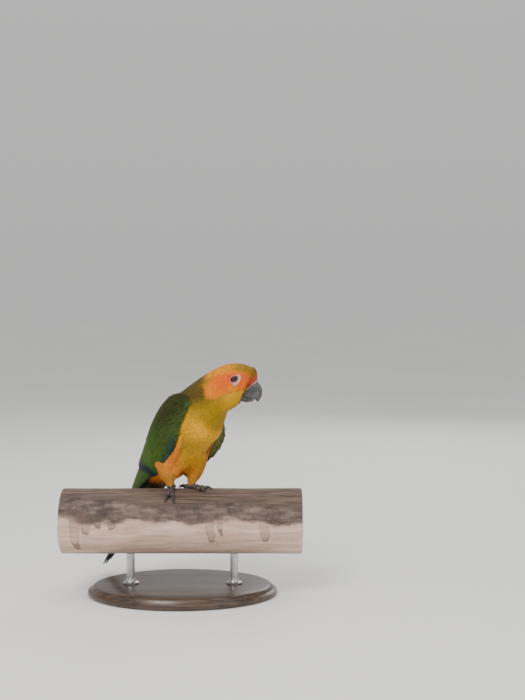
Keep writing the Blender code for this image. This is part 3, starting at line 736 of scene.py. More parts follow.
def bill_material():
    """Dark grey horn with growth lines, worn paler patches and flaking along the edges."""
    t = Tree("bill_horn")
    place = t.place()
    cloud = t.noise(place, 190.0, 5.0, 0.6)
    fine = t.noise(t.uv(), (14.0, 90.0, 1.0), 4.0)
    flakes = t.noise(place, (620.0, 620.0, 1488.0), 4.0, 0.7)
    horn = t.mix(t.ramp(cloud, 0.38, 0.66), (0.052, 0.049, 0.050), (0.120, 0.113, 0.112))
    horn = t.mix(t.ramp(flakes, 0.56, 0.70, 0.0, 0.35), horn, (0.24, 0.215, 0.20))
    horn = t.mix(t.ramp(fine, 0.35, 0.62, 0.35, 0.0), horn, (0.022, 0.020, 0.022))
    height = t.plus(fine, t.times(flakes, 0.8))
    gloss = t.ramp(flakes, 0.4, 0.7, 0.34, 0.58)
    return t.finish(Base_Color=horn, Roughness=gloss, Normal=t.bump(height, 0.3, 0.0002))


def eye_material():
    """Black pupil in a dark brown iris, under a wet clear coat."""
    t = Tree("eye_wet")
    unwrap = t.uv()
    _, out, _ = t.axes(unwrap)
    ray = t.noise(unwrap, (60.0, 5.0, 1.0), 3.0)
    iris = t.mix(t.ramp(ray, 0.3, 0.7), (0.030, 0.010, 0.007), (0.110, 0.036, 0.024))
    iris = t.mix(t.ramp(out, 0.860, 0.880), iris, (0.002, 0.002, 0.002))
    white = t.mix(t.ramp(out, 0.70, 0.725), (0.010, 0.007, 0.006), iris)
    return t.finish(Base_Color=white, Roughness=0.3, Coat_Weight=1.0, Coat_Roughness=0.02,
                    Coat_IOR=1.36, Specular_IOR_Level=0.1)


def foot_material():
    """Dark scaly skin, with painted shade in the grooves between the scales and paler middles of the scales.
    """
    t = Tree("foot_skin")
    place = t.place()
    scales = t.cells(place, 1550.0)
    cloud = t.noise(place, 260.0, 4.0)
    skin = t.mix(t.ramp(cloud, 0.35, 0.65), (0.042, 0.031, 0.030), (0.130, 0.096, 0.090))
    # Painted shade in the grooves between the scales.
    skin = t.mix(t.ramp(scales, 0.02, 0.12, 0.45, 0.0), skin, (0.020, 0.015, 0.014))
    # Paler toward the middle of each scale.
    skin = t.mix(t.ramp(scales, 0.14, 0.30, 0.0, 0.20), skin, (0.20, 0.160, 0.150))
    height = t.ramp(scales, 0.0, 0.22)
    return t.finish(Base_Color=skin, Roughness=0.62, Normal=t.bump(height, 0.45, 0.00016))


def claw_material():
    """Near black horn, streaked along its length and lighter where it is worn."""
    t = Tree("claw_horn")
    streak = t.noise(t.uv(), (24.0, 3.0, 1.0), 3.0)
    horn = t.mix(t.ramp(streak, 0.35, 0.7), (0.016, 0.013, 0.013), (0.060, 0.050, 0.046))
    return t.finish(Base_Color=horn, Roughness=t.ramp(streak, 0.3, 0.7, 0.3, 0.45),
                    Normal=t.bump(streak, 0.25, 0.0001))


def log_material():
    """Peeled weathered wood: pale front, brown top, a dirty band and drips below it, with painted shade in
    the pits and toward the underside.

    The turn runs in radians from the log's top toward the viewer.
    """
    t = Tree("log_wood")
    place = t.place()
    x, y, z = t.axes(place)
    height = t.minus(z, (PERCH_TOP - PERCH_RADIUS) * MM)
    turn = t.math("ARCTAN2", t.times(y, -1.0), height)
    wander = t.noise(place, (14.0, 30.0, 30.0), 4.0)
    turn = t.plus(turn, t.ramp(wander, 0.25, 0.75, -0.24, 0.24))
    grain = t.noise(place, (26.0, 420.0, 420.0), 6.0, 0.6)
    fibre = t.noise(place, (70.0, 1500.0, 1500.0), 4.0, 0.6)
    cloud = t.noise(place, (18.0, 60.0, 60.0), 5.0, 0.62)
    spots = t.noise(place, (120.0, 160.0, 160.0), 5.0, 0.68)
    wood = t.mix(t.ramp(cloud, 0.35, 0.66), (0.60, 0.405, 0.315), (0.78, 0.565, 0.460))
    wood = t.mix(t.ramp(grain, 0.42, 0.60, 0.0, 0.35), wood, (0.34, 0.215, 0.165))
    top = t.times(t.ramp(turn, 0.70, 1.00, 1.0, 0.0), t.ramp(turn, -1.3, -0.8))
    wood = t.mix(t.times(top, t.ramp(grain, 0.35, 0.60, 0.99, 0.80)), wood,
                 (0.052, 0.031, 0.022))
    band = t.times(t.ramp(turn, 0.66, 0.84), t.ramp(turn, 1.34, 1.52, 1.0, 0.0))
    streaks = t.noise(place, (60.0, 260.0, 260.0), 5.0, 0.66)
    blots = t.noise(place, (38.0, 50.0, 50.0), 3.0, 0.5)
    soot = t.plus(t.times(streaks, 0.35), t.times(blots, 0.30))
    soot = t.math("MULTIPLY_ADD", spots, 0.35, soot)
    wood = t.mix(t.times(band, t.ramp(soot, 0.36, 0.60, 0.70, 0.97)), wood,
                 (0.046, 0.034, 0.029))
    wood = t.mix(t.times(band, t.ramp(spots, 0.66, 0.72, 0.0, 0.7)), wood,
                 (0.62, 0.52, 0.45))
    along = {"W": t.math("MULTIPLY_ADD", x, 76.0, t.times(wander, 1.4)), "Scale": 1.0}
    off = t.add("ShaderNodeTexVoronoi", along, voronoi_dimensions="1D")
    length, _, _ = t.axes(t.add("ShaderNodeTexVoronoi", along, 1, voronoi_dimensions="1D"))
    limit = t.plus(t.ramp(length, 0.30, 1.0, 1.20, 2.25), t.ramp(x, -0.06, 0.03, 0.15, -0.20))
    rounded = t.math("POWER", t.times(off, 3.4), 4.0)
    depth = t.minus(t.math("MULTIPLY_ADD", rounded, -0.22, limit), turn)
    drip = t.times(t.ramp(depth, 0.0, 0.05), t.ramp(turn, 1.22, 1.36))
    edge = t.ramp(t.math("ABSOLUTE", t.minus(depth, 0.08)), 0.0, 0.11, 1.0, 0.0)
    drip = t.times(drip, t.math("MULTIPLY_ADD", edge, 0.48, 0.30))
    wood = t.mix(drip, wood, (0.150, 0.088, 0.068))
    # Painted shade: the log grows darker toward its underside.
    low = t.ramp(turn, 2.35, 2.85, 0.0, 0.45)
    wood = t.mix(low, wood, (0.26, 0.145, 0.120))
    # Painted shade in the pits, which the bump also sinks.
    pits = t.ramp(spots, 0.63, 0.72, 0.0, 0.5)
    wood = t.mix(pits, wood, (0.10, 0.068, 0.052))
    rough = t.ramp(cloud, 0.3, 0.7, 0.72, 0.9)
    relief = t.plus(t.times(grain, 0.8), t.times(fibre, 0.35))
    relief = t.minus(relief, t.times(pits, 0.5))
    return t.finish(Base_Color=wood, Roughness=rough, Normal=t.bump(relief, 0.55, 0.0009))


def log_end_material():
    """Sawn end grain with growth rings and fine cracks from the pith, the cracks darkened with painted shade.
    """
    t = Tree("log_end")
    place = t.place()
    _, y, z = t.axes(place)
    height = t.minus(z, (PERCH_TOP - PERCH_RADIUS) * MM)
    wobble = t.noise(place, (1.0, 40.0, 40.0), 2.0)
    radius = t.math("SQRT", t.plus(t.times(y, y), t.times(height, height)))
    radius = t.plus(radius, t.ramp(wobble, 0.2, 0.8, -0.0012, 0.0012))
    rings = t.noise(t.vector(t.times(radius, 1300.0)), 1.0, 2.0, 0.5)
    rings = t.ramp(rings, 0.36, 0.64)
    turn = t.math("ARCTAN2", y, height)
    rays = t.noise(t.vector(t.times(turn, 9.0), t.times(radius, 60.0)), 1.0, 4.0, 0.7)
    wood = t.mix(rings, (0.50, 0.35, 0.25), (0.60, 0.44, 0.32))
    # Painted shade in the cracks from the pith, which the bump also sinks.
    wood = t.mix(t.ramp(rays, 0.60, 0.72, 0.0, 0.7), wood, (0.15, 0.10, 0.075))
    rim = t.ramp(radius, 0.0300, 0.0325, 0.0, 0.5)
    wood = t.mix(rim, wood, (0.25, 0.18, 0.14))
    relief = t.minus(t.times(rings, 0.4), t.ramp(rays, 0.60, 0.72))
    return t.finish(Base_Color=wood, Roughness=0.85, Normal=t.bump(relief, 0.4, 0.0006))


def base_material():
    """Dark stained wood under a satin varnish."""
    t = Tree("base_wood")
    place = t.place()
    grain = t.noise(place, (9.0, 160.0, 160.0), 6.0, 0.62)
    pores = t.noise(place, (60.0, 1400.0, 1400.0), 2.0)
    cloud = t.noise(place, 12.0, 3.0)
    wood = t.mix(t.ramp(grain, 0.38, 0.62), (0.030, 0.016, 0.010), (0.085, 0.048, 0.028))
    wood = t.mix(t.ramp(pores, 0.56, 0.70, 0.0, 0.6), wood, (0.012, 0.007, 0.005))
    relief = t.plus(t.times(grain, 0.4), pores)
    return t.finish(Base_Color=wood, Roughness=t.ramp(cloud, 0.3, 0.7, 0.30, 0.42),
                    Normal=t.bump(relief, 0.12, 0.0003), Coat_Weight=0.25, Coat_Roughness=0.2)


def steel_material():
    """Turned steel with fine lines round the rod."""
    t = Tree("rod_steel")
    place = t.place()
    lines = t.noise(place, (60.0, 60.0, 5200.0), 2.0)
    cloud = t.noise(place, 90.0, 3.0)
    steel = t.mix(t.ramp(cloud, 0.3, 0.7), (0.46, 0.46, 0.47), (0.60, 0.60, 0.60))
    return t.finish(Base_Color=steel, Metallic=1.0, Roughness=t.ramp(lines, 0.3, 0.7, 0.26, 0.42),
                    Normal=t.bump(lines, 0.08, 0.0001))


def floor_material():
    """Pale matt floor with the faintest clouding."""
    t = Tree("stage_pale")
    cloud = t.noise(t.place(), 1.3, 4.0)
    tone = t.mix(t.ramp(cloud, 0.3, 0.7), (0.86, 0.855, 0.845), (0.89, 0.885, 0.875))
    return t.finish(Base_Color=tone, Roughness=0.8)


def vane_faces(rows, columns):
    """The corner lists of one feather: upper and under grid, with a cap at the root and at the tip."""
    def corner(r, c, under):
        if under and 0 < c < columns - 1:
            return rows * columns + r * (columns - 2) + c - 1, r, c
        return r * columns + c, r, c

    faces = []
    for r in range(rows - 1):
        for c in range(columns - 1):
            faces.append([corner(r, c, 0), corner(r, c + 1, 0), corner(r + 1, c + 1, 0), corner(r + 1, c, 0)])
            faces.append([corner(r, c, 1), corner(r + 1, c, 1), corner(r + 1, c + 1, 1), corner(r, c + 1, 1)])
    under_root = [corner(0, c, 1) for c in range(columns)]
    over_root = [corner(0, c, 0) for c in range(columns - 2, 0, -1)]
    faces.append(under_root + over_root)
    over_tip = [corner(rows - 1, c, 0) for c in range(columns)]
    under_tip = [corner(rows - 1, c, 1) for c in range(columns - 2, 0, -1)]
    faces.append(over_tip + under_tip)
    return faces


def feathers(name, spine, across, out, half, thickness, colours, bake, columns, camber, lean=0.0, under=None):
    """Many feathers as one mesh of closed thin vanes.

    spine, across and out have a row of points for each feather, half its half width there and
    bake the place of its patch on the unwrap. Colours come for each row, or for each point.
    """
    count, rows, _ = spine.shape
    s = np.linspace(-1.0, 1.0, columns)
    reach = half[..., None] * s
    lean = np.broadcast_to(np.asarray(lean, float), (count,))[:, None, None]
    thick = np.broadcast_to(np.asarray(thickness, float), (count, rows))[..., None]
    rise = -camber * half[..., None] * s * s + lean * reach
    base = spine[:, :, None] + across[:, :, None] * reach[..., None]
    above = base + out[:, :, None] * (rise + thick * 0.5 * (1 - s * s))[..., None]
    below = base + out[:, :, None] * (rise - thick * 0.5)[..., None]
    per = rows * columns + rows * (columns - 2)
    points = np.concatenate([above.reshape(count, -1, 3), below[:, :, 1:-1].reshape(count, -1, 3)], axis=1)
    faces = vane_faces(rows, columns)
    sizes = np.array([len(face) for face in faces])
    corners = np.array([corner for face in faces for corner in face])
    loops = (corners[:, 0][None] + (np.arange(count) * per)[:, None]).ravel()
    starts = np.concatenate([[0], np.cumsum(np.tile(sizes, count))[:-1]])
    mesh = bpy.data.meshes.new(name)
    mesh.vertices.add(count * per)
    store(mesh.vertices, "co", world(points))
    mesh.loops.add(len(loops))
    mesh.loops.foreach_set("vertex_index", loops.astype(np.int32))
    mesh.polygons.add(count * len(faces))
    mesh.polygons.foreach_set("loop_start", starts.astype(np.int32))
    mesh.update(calc_edges=True)
    u = corners[:, 2] / (columns - 1)
    v = corners[:, 1] / (rows - 1)
    store(mesh.uv_layers.new(name=VANE).data, "uv", np.tile(np.column_stack([u, v]), (count, 1)))
    patch = np.column_stack([u - 0.5, v - 0.5]) * PATCH
    places = np.clip(bake, 0.01, 0.99)[:, None] + patch[None]
    store(mesh.uv_layers.new(name="OFBake").data, "uv", places)
    mesh.set_sharp_from_angle(angle=math.radians(70))
    item = bpy.data.objects.new(name, mesh)
    bpy.context.scene.collection.objects.link(item)
    if colours.ndim == 3:
        colours = np.repeat(colours[:, :, None], columns, axis=2)
    inner = colours[:, :, 1:-1] * UNDERSIDE
    if under is not None:
        inner[:, :-1] = under
    both = [part.reshape(count, -1, 3) for part in (colours, inner)]
    paint(item, np.concatenate(both, axis=1).reshape(-1, 3))
    return item


# Side of a feather's patch on the baked unwrap, and how much duller its underside is
PATCH = 0.003
UNDERSIDE = 0.7

# How far roots stray from their rows, as a share of the gap, and the angle where rows are measured
SWAY = 0.3
RIGHT_SIDE = 180.0


def per_station(form, u, v):
    """Millimetres to a station along a form."""
    return np.linalg.norm(form.at(u + 0.05, v) - form.at(u - 0.05, v), axis=-1) / 0.1


def scatter(form, first, last, gap, spacing, seed):
    """Roots in staggered rows round a form.

    Each has its u and v, the millimetres to a step in either, and its row's gap in millimetres.
    """
    draw = np.random.default_rng(seed)
    v = np.linspace(0.0, 360.0, 145)
    found = []
    u = first
    odd = 0
    while u < last:
        line = form.at(np.full_like(v, u), v)
        steps = np.concatenate([[0.0], np.cumsum(np.linalg.norm(np.diff(line, axis=0), axis=1))])
        count = max(3, int(round(steps[-1] / spacing(u))))
        shares = (np.arange(count) + 0.5 * odd + draw.uniform(-SWAY, SWAY, count) * 0.5) / count
        places = np.interp(shares % 1.0 * steps[-1], steps, v)
        here = np.full(count, u)
        length = per_station(form, here, places)
        width = np.linalg.norm(form.at(here, places + 1.0) - form.at(here, places - 1.0), axis=1) / 2.0
        here = here + draw.uniform(-SWAY, SWAY, count) * gap(u) / np.maximum(length, 1e-3)
        step = gap(u) / per_station(form, u, RIGHT_SIDE)
        found.append(np.column_stack([here, places, length, width, length * step]))
        u += step
        odd = 1 - odd
    return np.concatenate(found)


def laid(form, roots, lengths, turns, low, high, t, rise=0.55):
    """Feather shafts along a form from their roots, rising from the low to the high lift."""
    u = roots[:, 0:1] + (lengths * np.cos(turns))[:, None] * t / roots[:, 2:3]
    v = roots[:, 1:2] + (lengths * np.sin(turns))[:, None] * t / roots[:, 3:4]
    lift = low[:, None] + (high - low)[:, None] * t ** rise
    spine = form.at(u, v, lift)
    along = unit(np.gradient(spine, axis=1))
    out = form.out(u, v)
    across = unit(np.cross(along, out))
    return spine, across, np.cross(across, along)


def spot(u, w, at_u, at_w, wide_u, wide_w):
    """A soft round patch on the body's map."""
    return np.exp(-((u - at_u) / wide_u) ** 2 - ((w - at_w) / wide_w) ** 2)


def from_back(v):
    """Degrees from the middle of the back, at 0, to the middle of the belly, at 180."""
    return np.abs((v + 90.0) % 360.0 - 180.0)


def body_colour(paints, u, v):
    """The plumage at a station and angle of the head, neck and trunk."""
    w = from_back(v)
    back = mixed(paints["nape"], paints["mantle"], smooth(u, 5.8, 7.8))
    back = mixed(back, paints["tail_green"], 0.85 * smooth(u, 12.0, 14.6))
    front = mixed(paints["throat"], paints["breast"], smooth(u + (w - 120) * 0.008, 6.0, 7.4))
    front = mixed(front, paints["gold"], 0.92 * spot(u, w, 7.05, 143.0, 0.85, 32.0))
    front = mixed(front, paints["fleck"], 0.48 * spot(u, w, 8.4, 138.0, 0.8, 26.0))
    front = mixed(front, paints["belly"], smooth(u - (w - 120) * 0.012, 9.2, 10.6))
    front = mixed(front, paints["flank"], 0.85 * spot(u, w, 10.6, 112.0, 1.6, 20.0))
    # Under the tail's root: the undertail colour, darkened with painted shade under the body.
    front = mixed(front, paints["vent"], smooth(u, 12.1, 12.9))
    front = mixed(front, paints["tail_green"], smooth(u, 14.0, 15.4) * (1 - smooth(w, 110, 150)))
    turn = 80.0 + 14.0 * (1 - smooth(u, 5.0, 7.4))
    colour = mixed(back, front, smooth(w, turn - 18, turn + 16))
    jaw = smooth(u, 0.2, 0.9) * (1 - smooth(u, 2.9, 4.6)) * smooth(w, 94, 106) * (1 - smooth(w, 136, 172))
    colour = mixed(colour, paints["jaw"], jaw)
    crown = smooth(u, 0.9, 1.8) * (1 - smooth(u + w * 0.004, 4.9, 5.5)) * (1 - smooth(w, 52, 78))
    colour = mixed(colour, paints["crown"], crown)
    fore = (1 - smooth(u, 2.3, 3.7)) * (1 - smooth(w, 40, 58))
    colour = mixed(colour, paints["fore"], fore * 0.9)
    low = 100.0 - 11.0 * smooth(u, 4.0, 5.2) + 3.0 * spot(u, w, 3.9, 100.0, 0.6, 60.0)
    cheek = smooth(u, 0.5, 1.0) * (1 - smooth(u, 4.9, 5.35)) * smooth(w, 42, 60)
    cheek = cheek * (1 - smooth(w, low - 5, low + 5))
    tone = mixed(paints["cheek"], paints["ear"], smooth(u + (w - 70) * 0.02, 3.9, 5.0))
    tone = mixed(tone, paints["jaw"], 0.55 * spot(u, w, 2.7, 96.0, 0.9, 12.0))
    colour = mixed(colour, tone, cheek)
    colour = mixed(colour, paints["fore"], 0.75 * spot(u, w, 4.95, 52.0, 0.5, 11.0))
    front_spot = (1 - smooth(u, 0.30, 0.85)) * (1 - smooth(w, 66, 100))
    colour = mixed(colour, paints["front"], front_spot)
    colour = mixed(colour, paints["fore"], 0.7 * spot(u, w, 0.8, 42.0, 0.4, 13.0))
    lore = spot(u, w, 1.15, 66.0, 0.55, 9.0)
    return mixed(colour, paints["front"], 0.65 * lore)


def shaded_rows(colours, t, draw, dark=0.6, spread=0.09):
    """Each feather's colour along its rows: darker at the root, partly its own duller base and partly painted
    shade under the feathers that lie over it, and a little unlike its neighbours.
    """
    tone = 1.0 + draw.normal(0.0, spread, (len(colours), 1))
    warm = 1.0 + draw.normal(0.0, spread * 0.6, (len(colours), 1))
    base = colours * np.clip(tone, 0.6, 1.4)
    base = base * np.concatenate([np.ones_like(warm), np.clip(warm, 0.7, 1.3), np.ones_like(warm)], axis=1)
    # Painted shade: the root end is darkened, partly for its own duller tone and partly for the shade of the
    # feathers over it.
    root_tone_and_shade = dark + (1 - dark) * smooth(t, 0.15, 0.75)
    return base[:, None] * root_tone_and_shade[None, :, None]


def setting_names(group):
    """The names of a group's own settings."""
    return [name for name in group.bl_rna.properties.keys() if name not in ("rna_type", "name")]


def plumage():
    group = settings().conure_plumage
    return {name: plain_rgb(getattr(group, name)) for name in setting_names(group)}


def coat_depth(u):
    """How deep the skin lies under the coat at a station."""
    coat = settings().conure_coat
    head = millimetres(coat.depth_head)
    body = millimetres(coat.depth_body)
    return head * smooth(u, -0.6, 1.2) * 0.9 + 0.15 + (body - head) * smooth(u, 2.5, 7.0)


def eye_centre(side):
    """The eyeball's middle, the way it looks and the place where it leaves the head."""
    angle = EYE_ANGLE if side == "left" else 180.0 - EYE_ANGLE
    look = BODY_FORM.out(EYE_STATION, angle)
    place = BODY_FORM.skin(EYE_STATION, angle)
    return place - look * EYE_SUNK, look, place, angle


# The bare ring round the eye: its outer reach in front, its inner reach and its share at the back
RING_OUTER = 7.4
RING_INNER = 3.35
RING_BACK = 0.66


def eye_distance(points):
    """Distance to the nearer eye, shorter at the back so that the bare ring is wider in front."""
    nearest = np.full(points.shape[:-1], 1e9)
    for side in SIDES:
        _, _, place, angle = eye_centre(side)
        ahead = unit(BODY_FORM.skin(EYE_STATION - 0.3, angle) - BODY_FORM.skin(EYE_STATION + 0.3, angle))
        offset = points - place
        distance = np.linalg.norm(offset, axis=-1)
        facing = (offset @ ahead) / np.maximum(distance, 1e-6)
        drop = -offset[..., 2] / np.maximum(distance, 1e-6)
        stretch = RING_BACK + (1 - RING_BACK) * smooth(1.3 * facing + 0.4 * drop, -0.6, 1.2)
        nearest = np.minimum(nearest, distance / stretch)
    return nearest


def wing_hides(u, v):
    """True for places on the trunk that lie well inside the cover of a folded wing."""
    hidden = np.zeros(u.shape, bool)
    for side in SIDES:
        wing = Wing(side)
        low = wing.place(u, np.full_like(u, 0.0))[0]
        high = wing.place(u, np.full_like(u, 1.0))[0]
        if side == "left":
            angle = (v + 180.0) % 360.0 - 180.0
            inside = (angle > low + 14.0) & (angle < high - 8.0)
        else:
            inside = (v < low - 14.0) & (v > high + 8.0)
        hidden |= inside & (u > 7.6) & (u < 14.5)
    return hidden


class CONURE_OT_skin(bpy.types.Operator):
    """Model the one skin of head, neck, trunk, thighs and root of the tail"""

    bl_idname = "conure.skin"
    bl_label = "Skin"

    def execute(self, context):
        paints = plumage()
        u = np.linspace(0.0, TAIL_BACK - 0.15, 190)
        v = np.arange(96) * 360.0 / 96
        grid_u, grid_v = np.meshgrid(u, v, indexing="ij")
        rings = BODY_FORM.at(grid_u, grid_v, -coat_depth(grid_u))
        hollow = eye_distance(rings)
        rings = rings - BODY_FORM.out(grid_u, grid_v) * (1.6 * (1 - smooth(hollow, 2.5, 5.5)))[..., None]
        skin = wrapped("skin", rings)
        skin.data.uv_layers[0].name = "OFBake"
        limbs = []
        for side in SIDES:
            limb = Limb(LEG_ROUTES[side])
            t = np.linspace(0.0, 3.0, 36)
            turn = np.arange(40) * 9.0
            grid_t, grid_a = np.meshgrid(t, turn, indexing="ij")
            thigh = wrapped("thigh_" + side, limb.at(grid_t, grid_a, -1.5))
            thigh.data.uv_layers[0].name = "OFBake"
            limbs.append(thigh)
        united(skin, limbs)
        tree = kdtree.KDTree(grid_u.size)
        colours = body_colour(paints, grid_u, grid_v).reshape(-1, 3)
        for k, place in enumerate(world(rings).reshape(-1, 3)):
            tree.insert(place, k)
        tree.balance()
        tint = []
        for vert in skin.data.vertices:
            _, k, far = tree.find(vert.co)
            tint.append(colours[k] if far < 1e-5 else paints["thigh"])
        paint(skin, np.array(tint) * 0.9)
        shade(skin, 80)
        keep(skin, skin_material(), "body_feathers", "head", "neck", "torso", "leg_left", "leg_right", "tail")
        return {"FINISHED"}


def gap_at(u):
    """Row gap of the coat at a station, in millimetres."""
    coat = settings().conure_coat
    head = millimetres(coat.head_gap)
    neck = millimetres(coat.neck_gap)
    body = millimetres(coat.body_gap)
    return head * (0.66 + 0.34 * smooth(u, 0.3, 2.4)) + (neck - head) * smooth(u, 3.2, 5.6) \
        + (body - neck) * smooth(u, 6.0, 9.0)


# Places along a narrow and a broad small feather, and its half width at each
FINE_STEPS = np.array([0.0, 0.42, 0.76, 0.93, 1.0])
FINE_HALF = np.array([0.55, 0.95, 0.92, 0.55, 0.14])
SOFT_STEPS = np.array([0.0, 0.32, 0.62, 0.83, 0.95, 1.0])
SOFT_HALF = np.array([0.55, 0.92, 1.0, 0.84, 0.48, 0.14])


def coat(name, form, roots, colours, lengths, widths, low, high, fine, seed, turns, bake):
    """One bed of small soft feathers, rising from under their neighbours to the surface."""
    draw = np.random.default_rng(seed)
    t, profile, columns = (FINE_STEPS, FINE_HALF, 3) if fine else (SOFT_STEPS, SOFT_HALF, 5)
    spine, across, out = laid(form, roots, lengths, turns, low, high, t)
    half = widths[:, None] * 0.5 * profile[None]
    thick = 0.06 + 0.012 * widths[:, None] * (1 - t)[None]
    # Roots darkened to 0.8, partly painted shade under the overlapping feathers.
    tones = shaded_rows(colours, t, draw, 0.8, 0.065)
    return feathers(name, spine, across, out, half, thick, tones, bake, columns, 0.20 if fine else 0.15,
                    draw.normal(0.0, 0.03, len(roots)))


class CONURE_OT_coat(bpy.types.Operator):
    """Lay the small feathers of head, neck, trunk, flanks and thighs"""

    bl_idname = "conure.coat"
    bl_label = "Coat"

    # Name, first and last station, narrow feathers or broad ones, seed
    regions = (
        ("face_coat", 0.02, 2.9, True, 11),
        ("crown_coat", 2.75, 4.9, True, 14),
        ("neck_coat", 4.75, 7.2, False, 12),
        ("breast_coat", 7.0, 10.4, False, 13),
        ("belly_coat", 10.2, 15.6, False, 15),
    )

    def execute(self, context):
        paints = plumage()
        small = feather_material("plumage_small")
        soft = feather_material("plumage_body")
        for name, first, last, fine, seed in self.regions:
            slot = "head_feathers" if fine else "body_feathers"
            keep(self.region(paints, name, first, last, fine, seed), small if fine else soft, slot)
        for side in SIDES:
            keep(self.flank(paints, side), soft, "body_feathers")
            keep(self.thigh(paints, side), soft, "body_feathers")
        return {"FINISHED"}

    def roots(self, first, last, seed):
        """Where a region's feathers grow. Rows that lie far apart, as on a bend, get others between."""
        half = 0.5 * gap_at(first) / per_station(BODY_FORM, first, RIGHT_SIDE)
        rows, between = (scatter(BODY_FORM, start, last, gap_at, lambda u: gap_at(u) * 0.95, number)
                         for start, number in ((first, seed), (first + half, seed + 50)))
        sparse = [found[:, 4] > 1.35 * gap_at(found[:, 0]) for found in (rows, between)]
        rows[:, 4] *= np.where(sparse[0], 0.55, 1.0)
        between[:, 4] *= 0.55
        roots = np.concatenate([rows, between[sparse[1]]])
        roots = roots[~wing_hides(roots[:, 0], roots[:, 1])]
        places = BODY_FORM.skin(roots[:, 0], roots[:, 1])
        return roots[(eye_distance(places) > RING_OUTER * 0.93) & (thigh_distance(places) > -3.5)]

    def region(self, paints, name, first, last, fine, seed):
        """The coat between two stations of head, neck or trunk."""
        draw = np.random.default_rng(seed)
        overlap = settings().conure_coat.overlap
        roots = self.roots(first, last, seed)
        u, v = roots[:, 0], roots[:, 1]
        w = from_back(v)
        gaps = 0.35 * gap_at(u) + 0.65 * np.maximum(roots[:, 4], gap_at(u) * 0.8)
        lengths = gaps * overlap * (1 + draw.uniform(-0.16, 0.16, len(u)))
        turns = draw.normal(0.0, 0.08, len(u))
        roots[:, 2] = per_station(BODY_FORM, u + 0.5 * lengths / roots[:, 2], v)
        tips = eye_distance(BODY_FORM.skin(u + lengths / roots[:, 2], v))
        share = np.where(tips < RING_OUTER * 1.02, 0.42, 1.0) * (0.6 + 0.4 * smooth(u, -0.1, 1.2))
        lengths *= share
        widths = np.sqrt(gaps * gap_at(u)) * (1.85 if fine else 1.75)
        widths = widths * (1 + draw.uniform(-0.12, 0.12, len(u)))
        colours = body_colour(paints, u, v)
        # Single feathers of another colour: green on the belly, olive on the throat, streaks on the crown
        belly = smooth(u, 7.2, 8.4) * smooth(w, 100, 130) * (1 - smooth(u, 10.4, 12.0))
        throat = smooth(w, 84, 110) * (1 - smooth(u, 7.0, 8.5)) * smooth(u, 2, 4)
        crown = smooth(u, 1.0, 1.6) * (1 - smooth(w, 40, 95)) * (u < 5.0)
        for paint_name, odds, where, strength in (
                ("fleck", 0.22, belly, 0.34), ("fleck", 0.15, throat, 0.32), ("fore", 0.20, crown, 0.40)):
            colours = mixed(colours, paints[paint_name], (draw.random(len(u)) < odds) * where * strength)
        low = -(coat_depth(u) + 0.1) * share
        high = 0.02 + draw.uniform(-0.07, 0.10, len(u)) * (0.15 + 0.85 * smooth(u, 2, 8))
        bake = np.column_stack([(v % 360.0) / 360.0, u / TAIL_BACK])
        return coat(name, BODY_FORM, roots, colours, lengths, widths, low, high, fine, seed, turns, bake)

    def flank(self, paints, side):
        """Long soft feathers that leave the flank and lie over the wing's lower edge."""
        seed = 25 + SIDES.index(side)
        draw = np.random.default_rng(seed)
        wing = Wing(side)
        rows = []
        for tier in range(6):
            for u in np.arange(7.9 + 0.13 * tier, 11.9 - 0.19 * tier, 0.105):
                angle = float(wing.place(u, 0.0)[0])
                reach = float(smooth(u, 8.2, 12.4))
                below = 17.0 - 3.6 * tier * reach
                v = angle - below if side == "left" else angle + below
                rows.append((u + draw.uniform(-0.05, 0.05), v + draw.uniform(-1.2, 1.2), tier, reach))
        rows = np.array(rows)
        u, v, tier, reach = rows.T
        length = np.linalg.norm(FLANK_FORM.skin(u + 0.05, v) - FLANK_FORM.skin(u - 0.05, v), axis=1) / 0.1
        width = np.linalg.norm(FLANK_FORM.skin(u, v + 1) - FLANK_FORM.skin(u, v - 1), axis=1) / 2
        roots = np.column_stack([u, v, length, width])
        rear = smooth(u, 10.4, 11.8)
        lengths = (6.0 + 3.2 * reach) * (1 - 0.25 * rear) * (1 + draw.uniform(-0.15, 0.15, len(u)))
        upward = 1.0 if side == "left" else -1.0
        turns = upward * (0.10 + 0.14 * reach - 0.20 * rear) + draw.normal(0.0, 0.06, len(u))
        colours = mixed(paints["breast"], mixed(paints["flank"], paints["belly"], draw.random(len(u)) * 0.7),
                        smooth(u, 8.0, 9.6))
        colours = mixed(colours, paints["thigh"], 0.85 * smooth(u, 10.0, 11.6))
        pile = (0.28 if side == "left" else 0.50) * tier * reach * (1 - 0.5 * rear)
        low = -1.4 + pile
        high = 0.2 + pile + draw.uniform(-0.1, 0.1, len(u))
        bake = np.column_stack([(v % 360.0) / 360.0, u / TAIL_BACK])
        return coat("flank_coat_" + side, FLANK_FORM, roots, colours, lengths,
                    2.4 * (1 + draw.uniform(-0.1, 0.1, len(u))), low, high, False, seed, turns, bake)

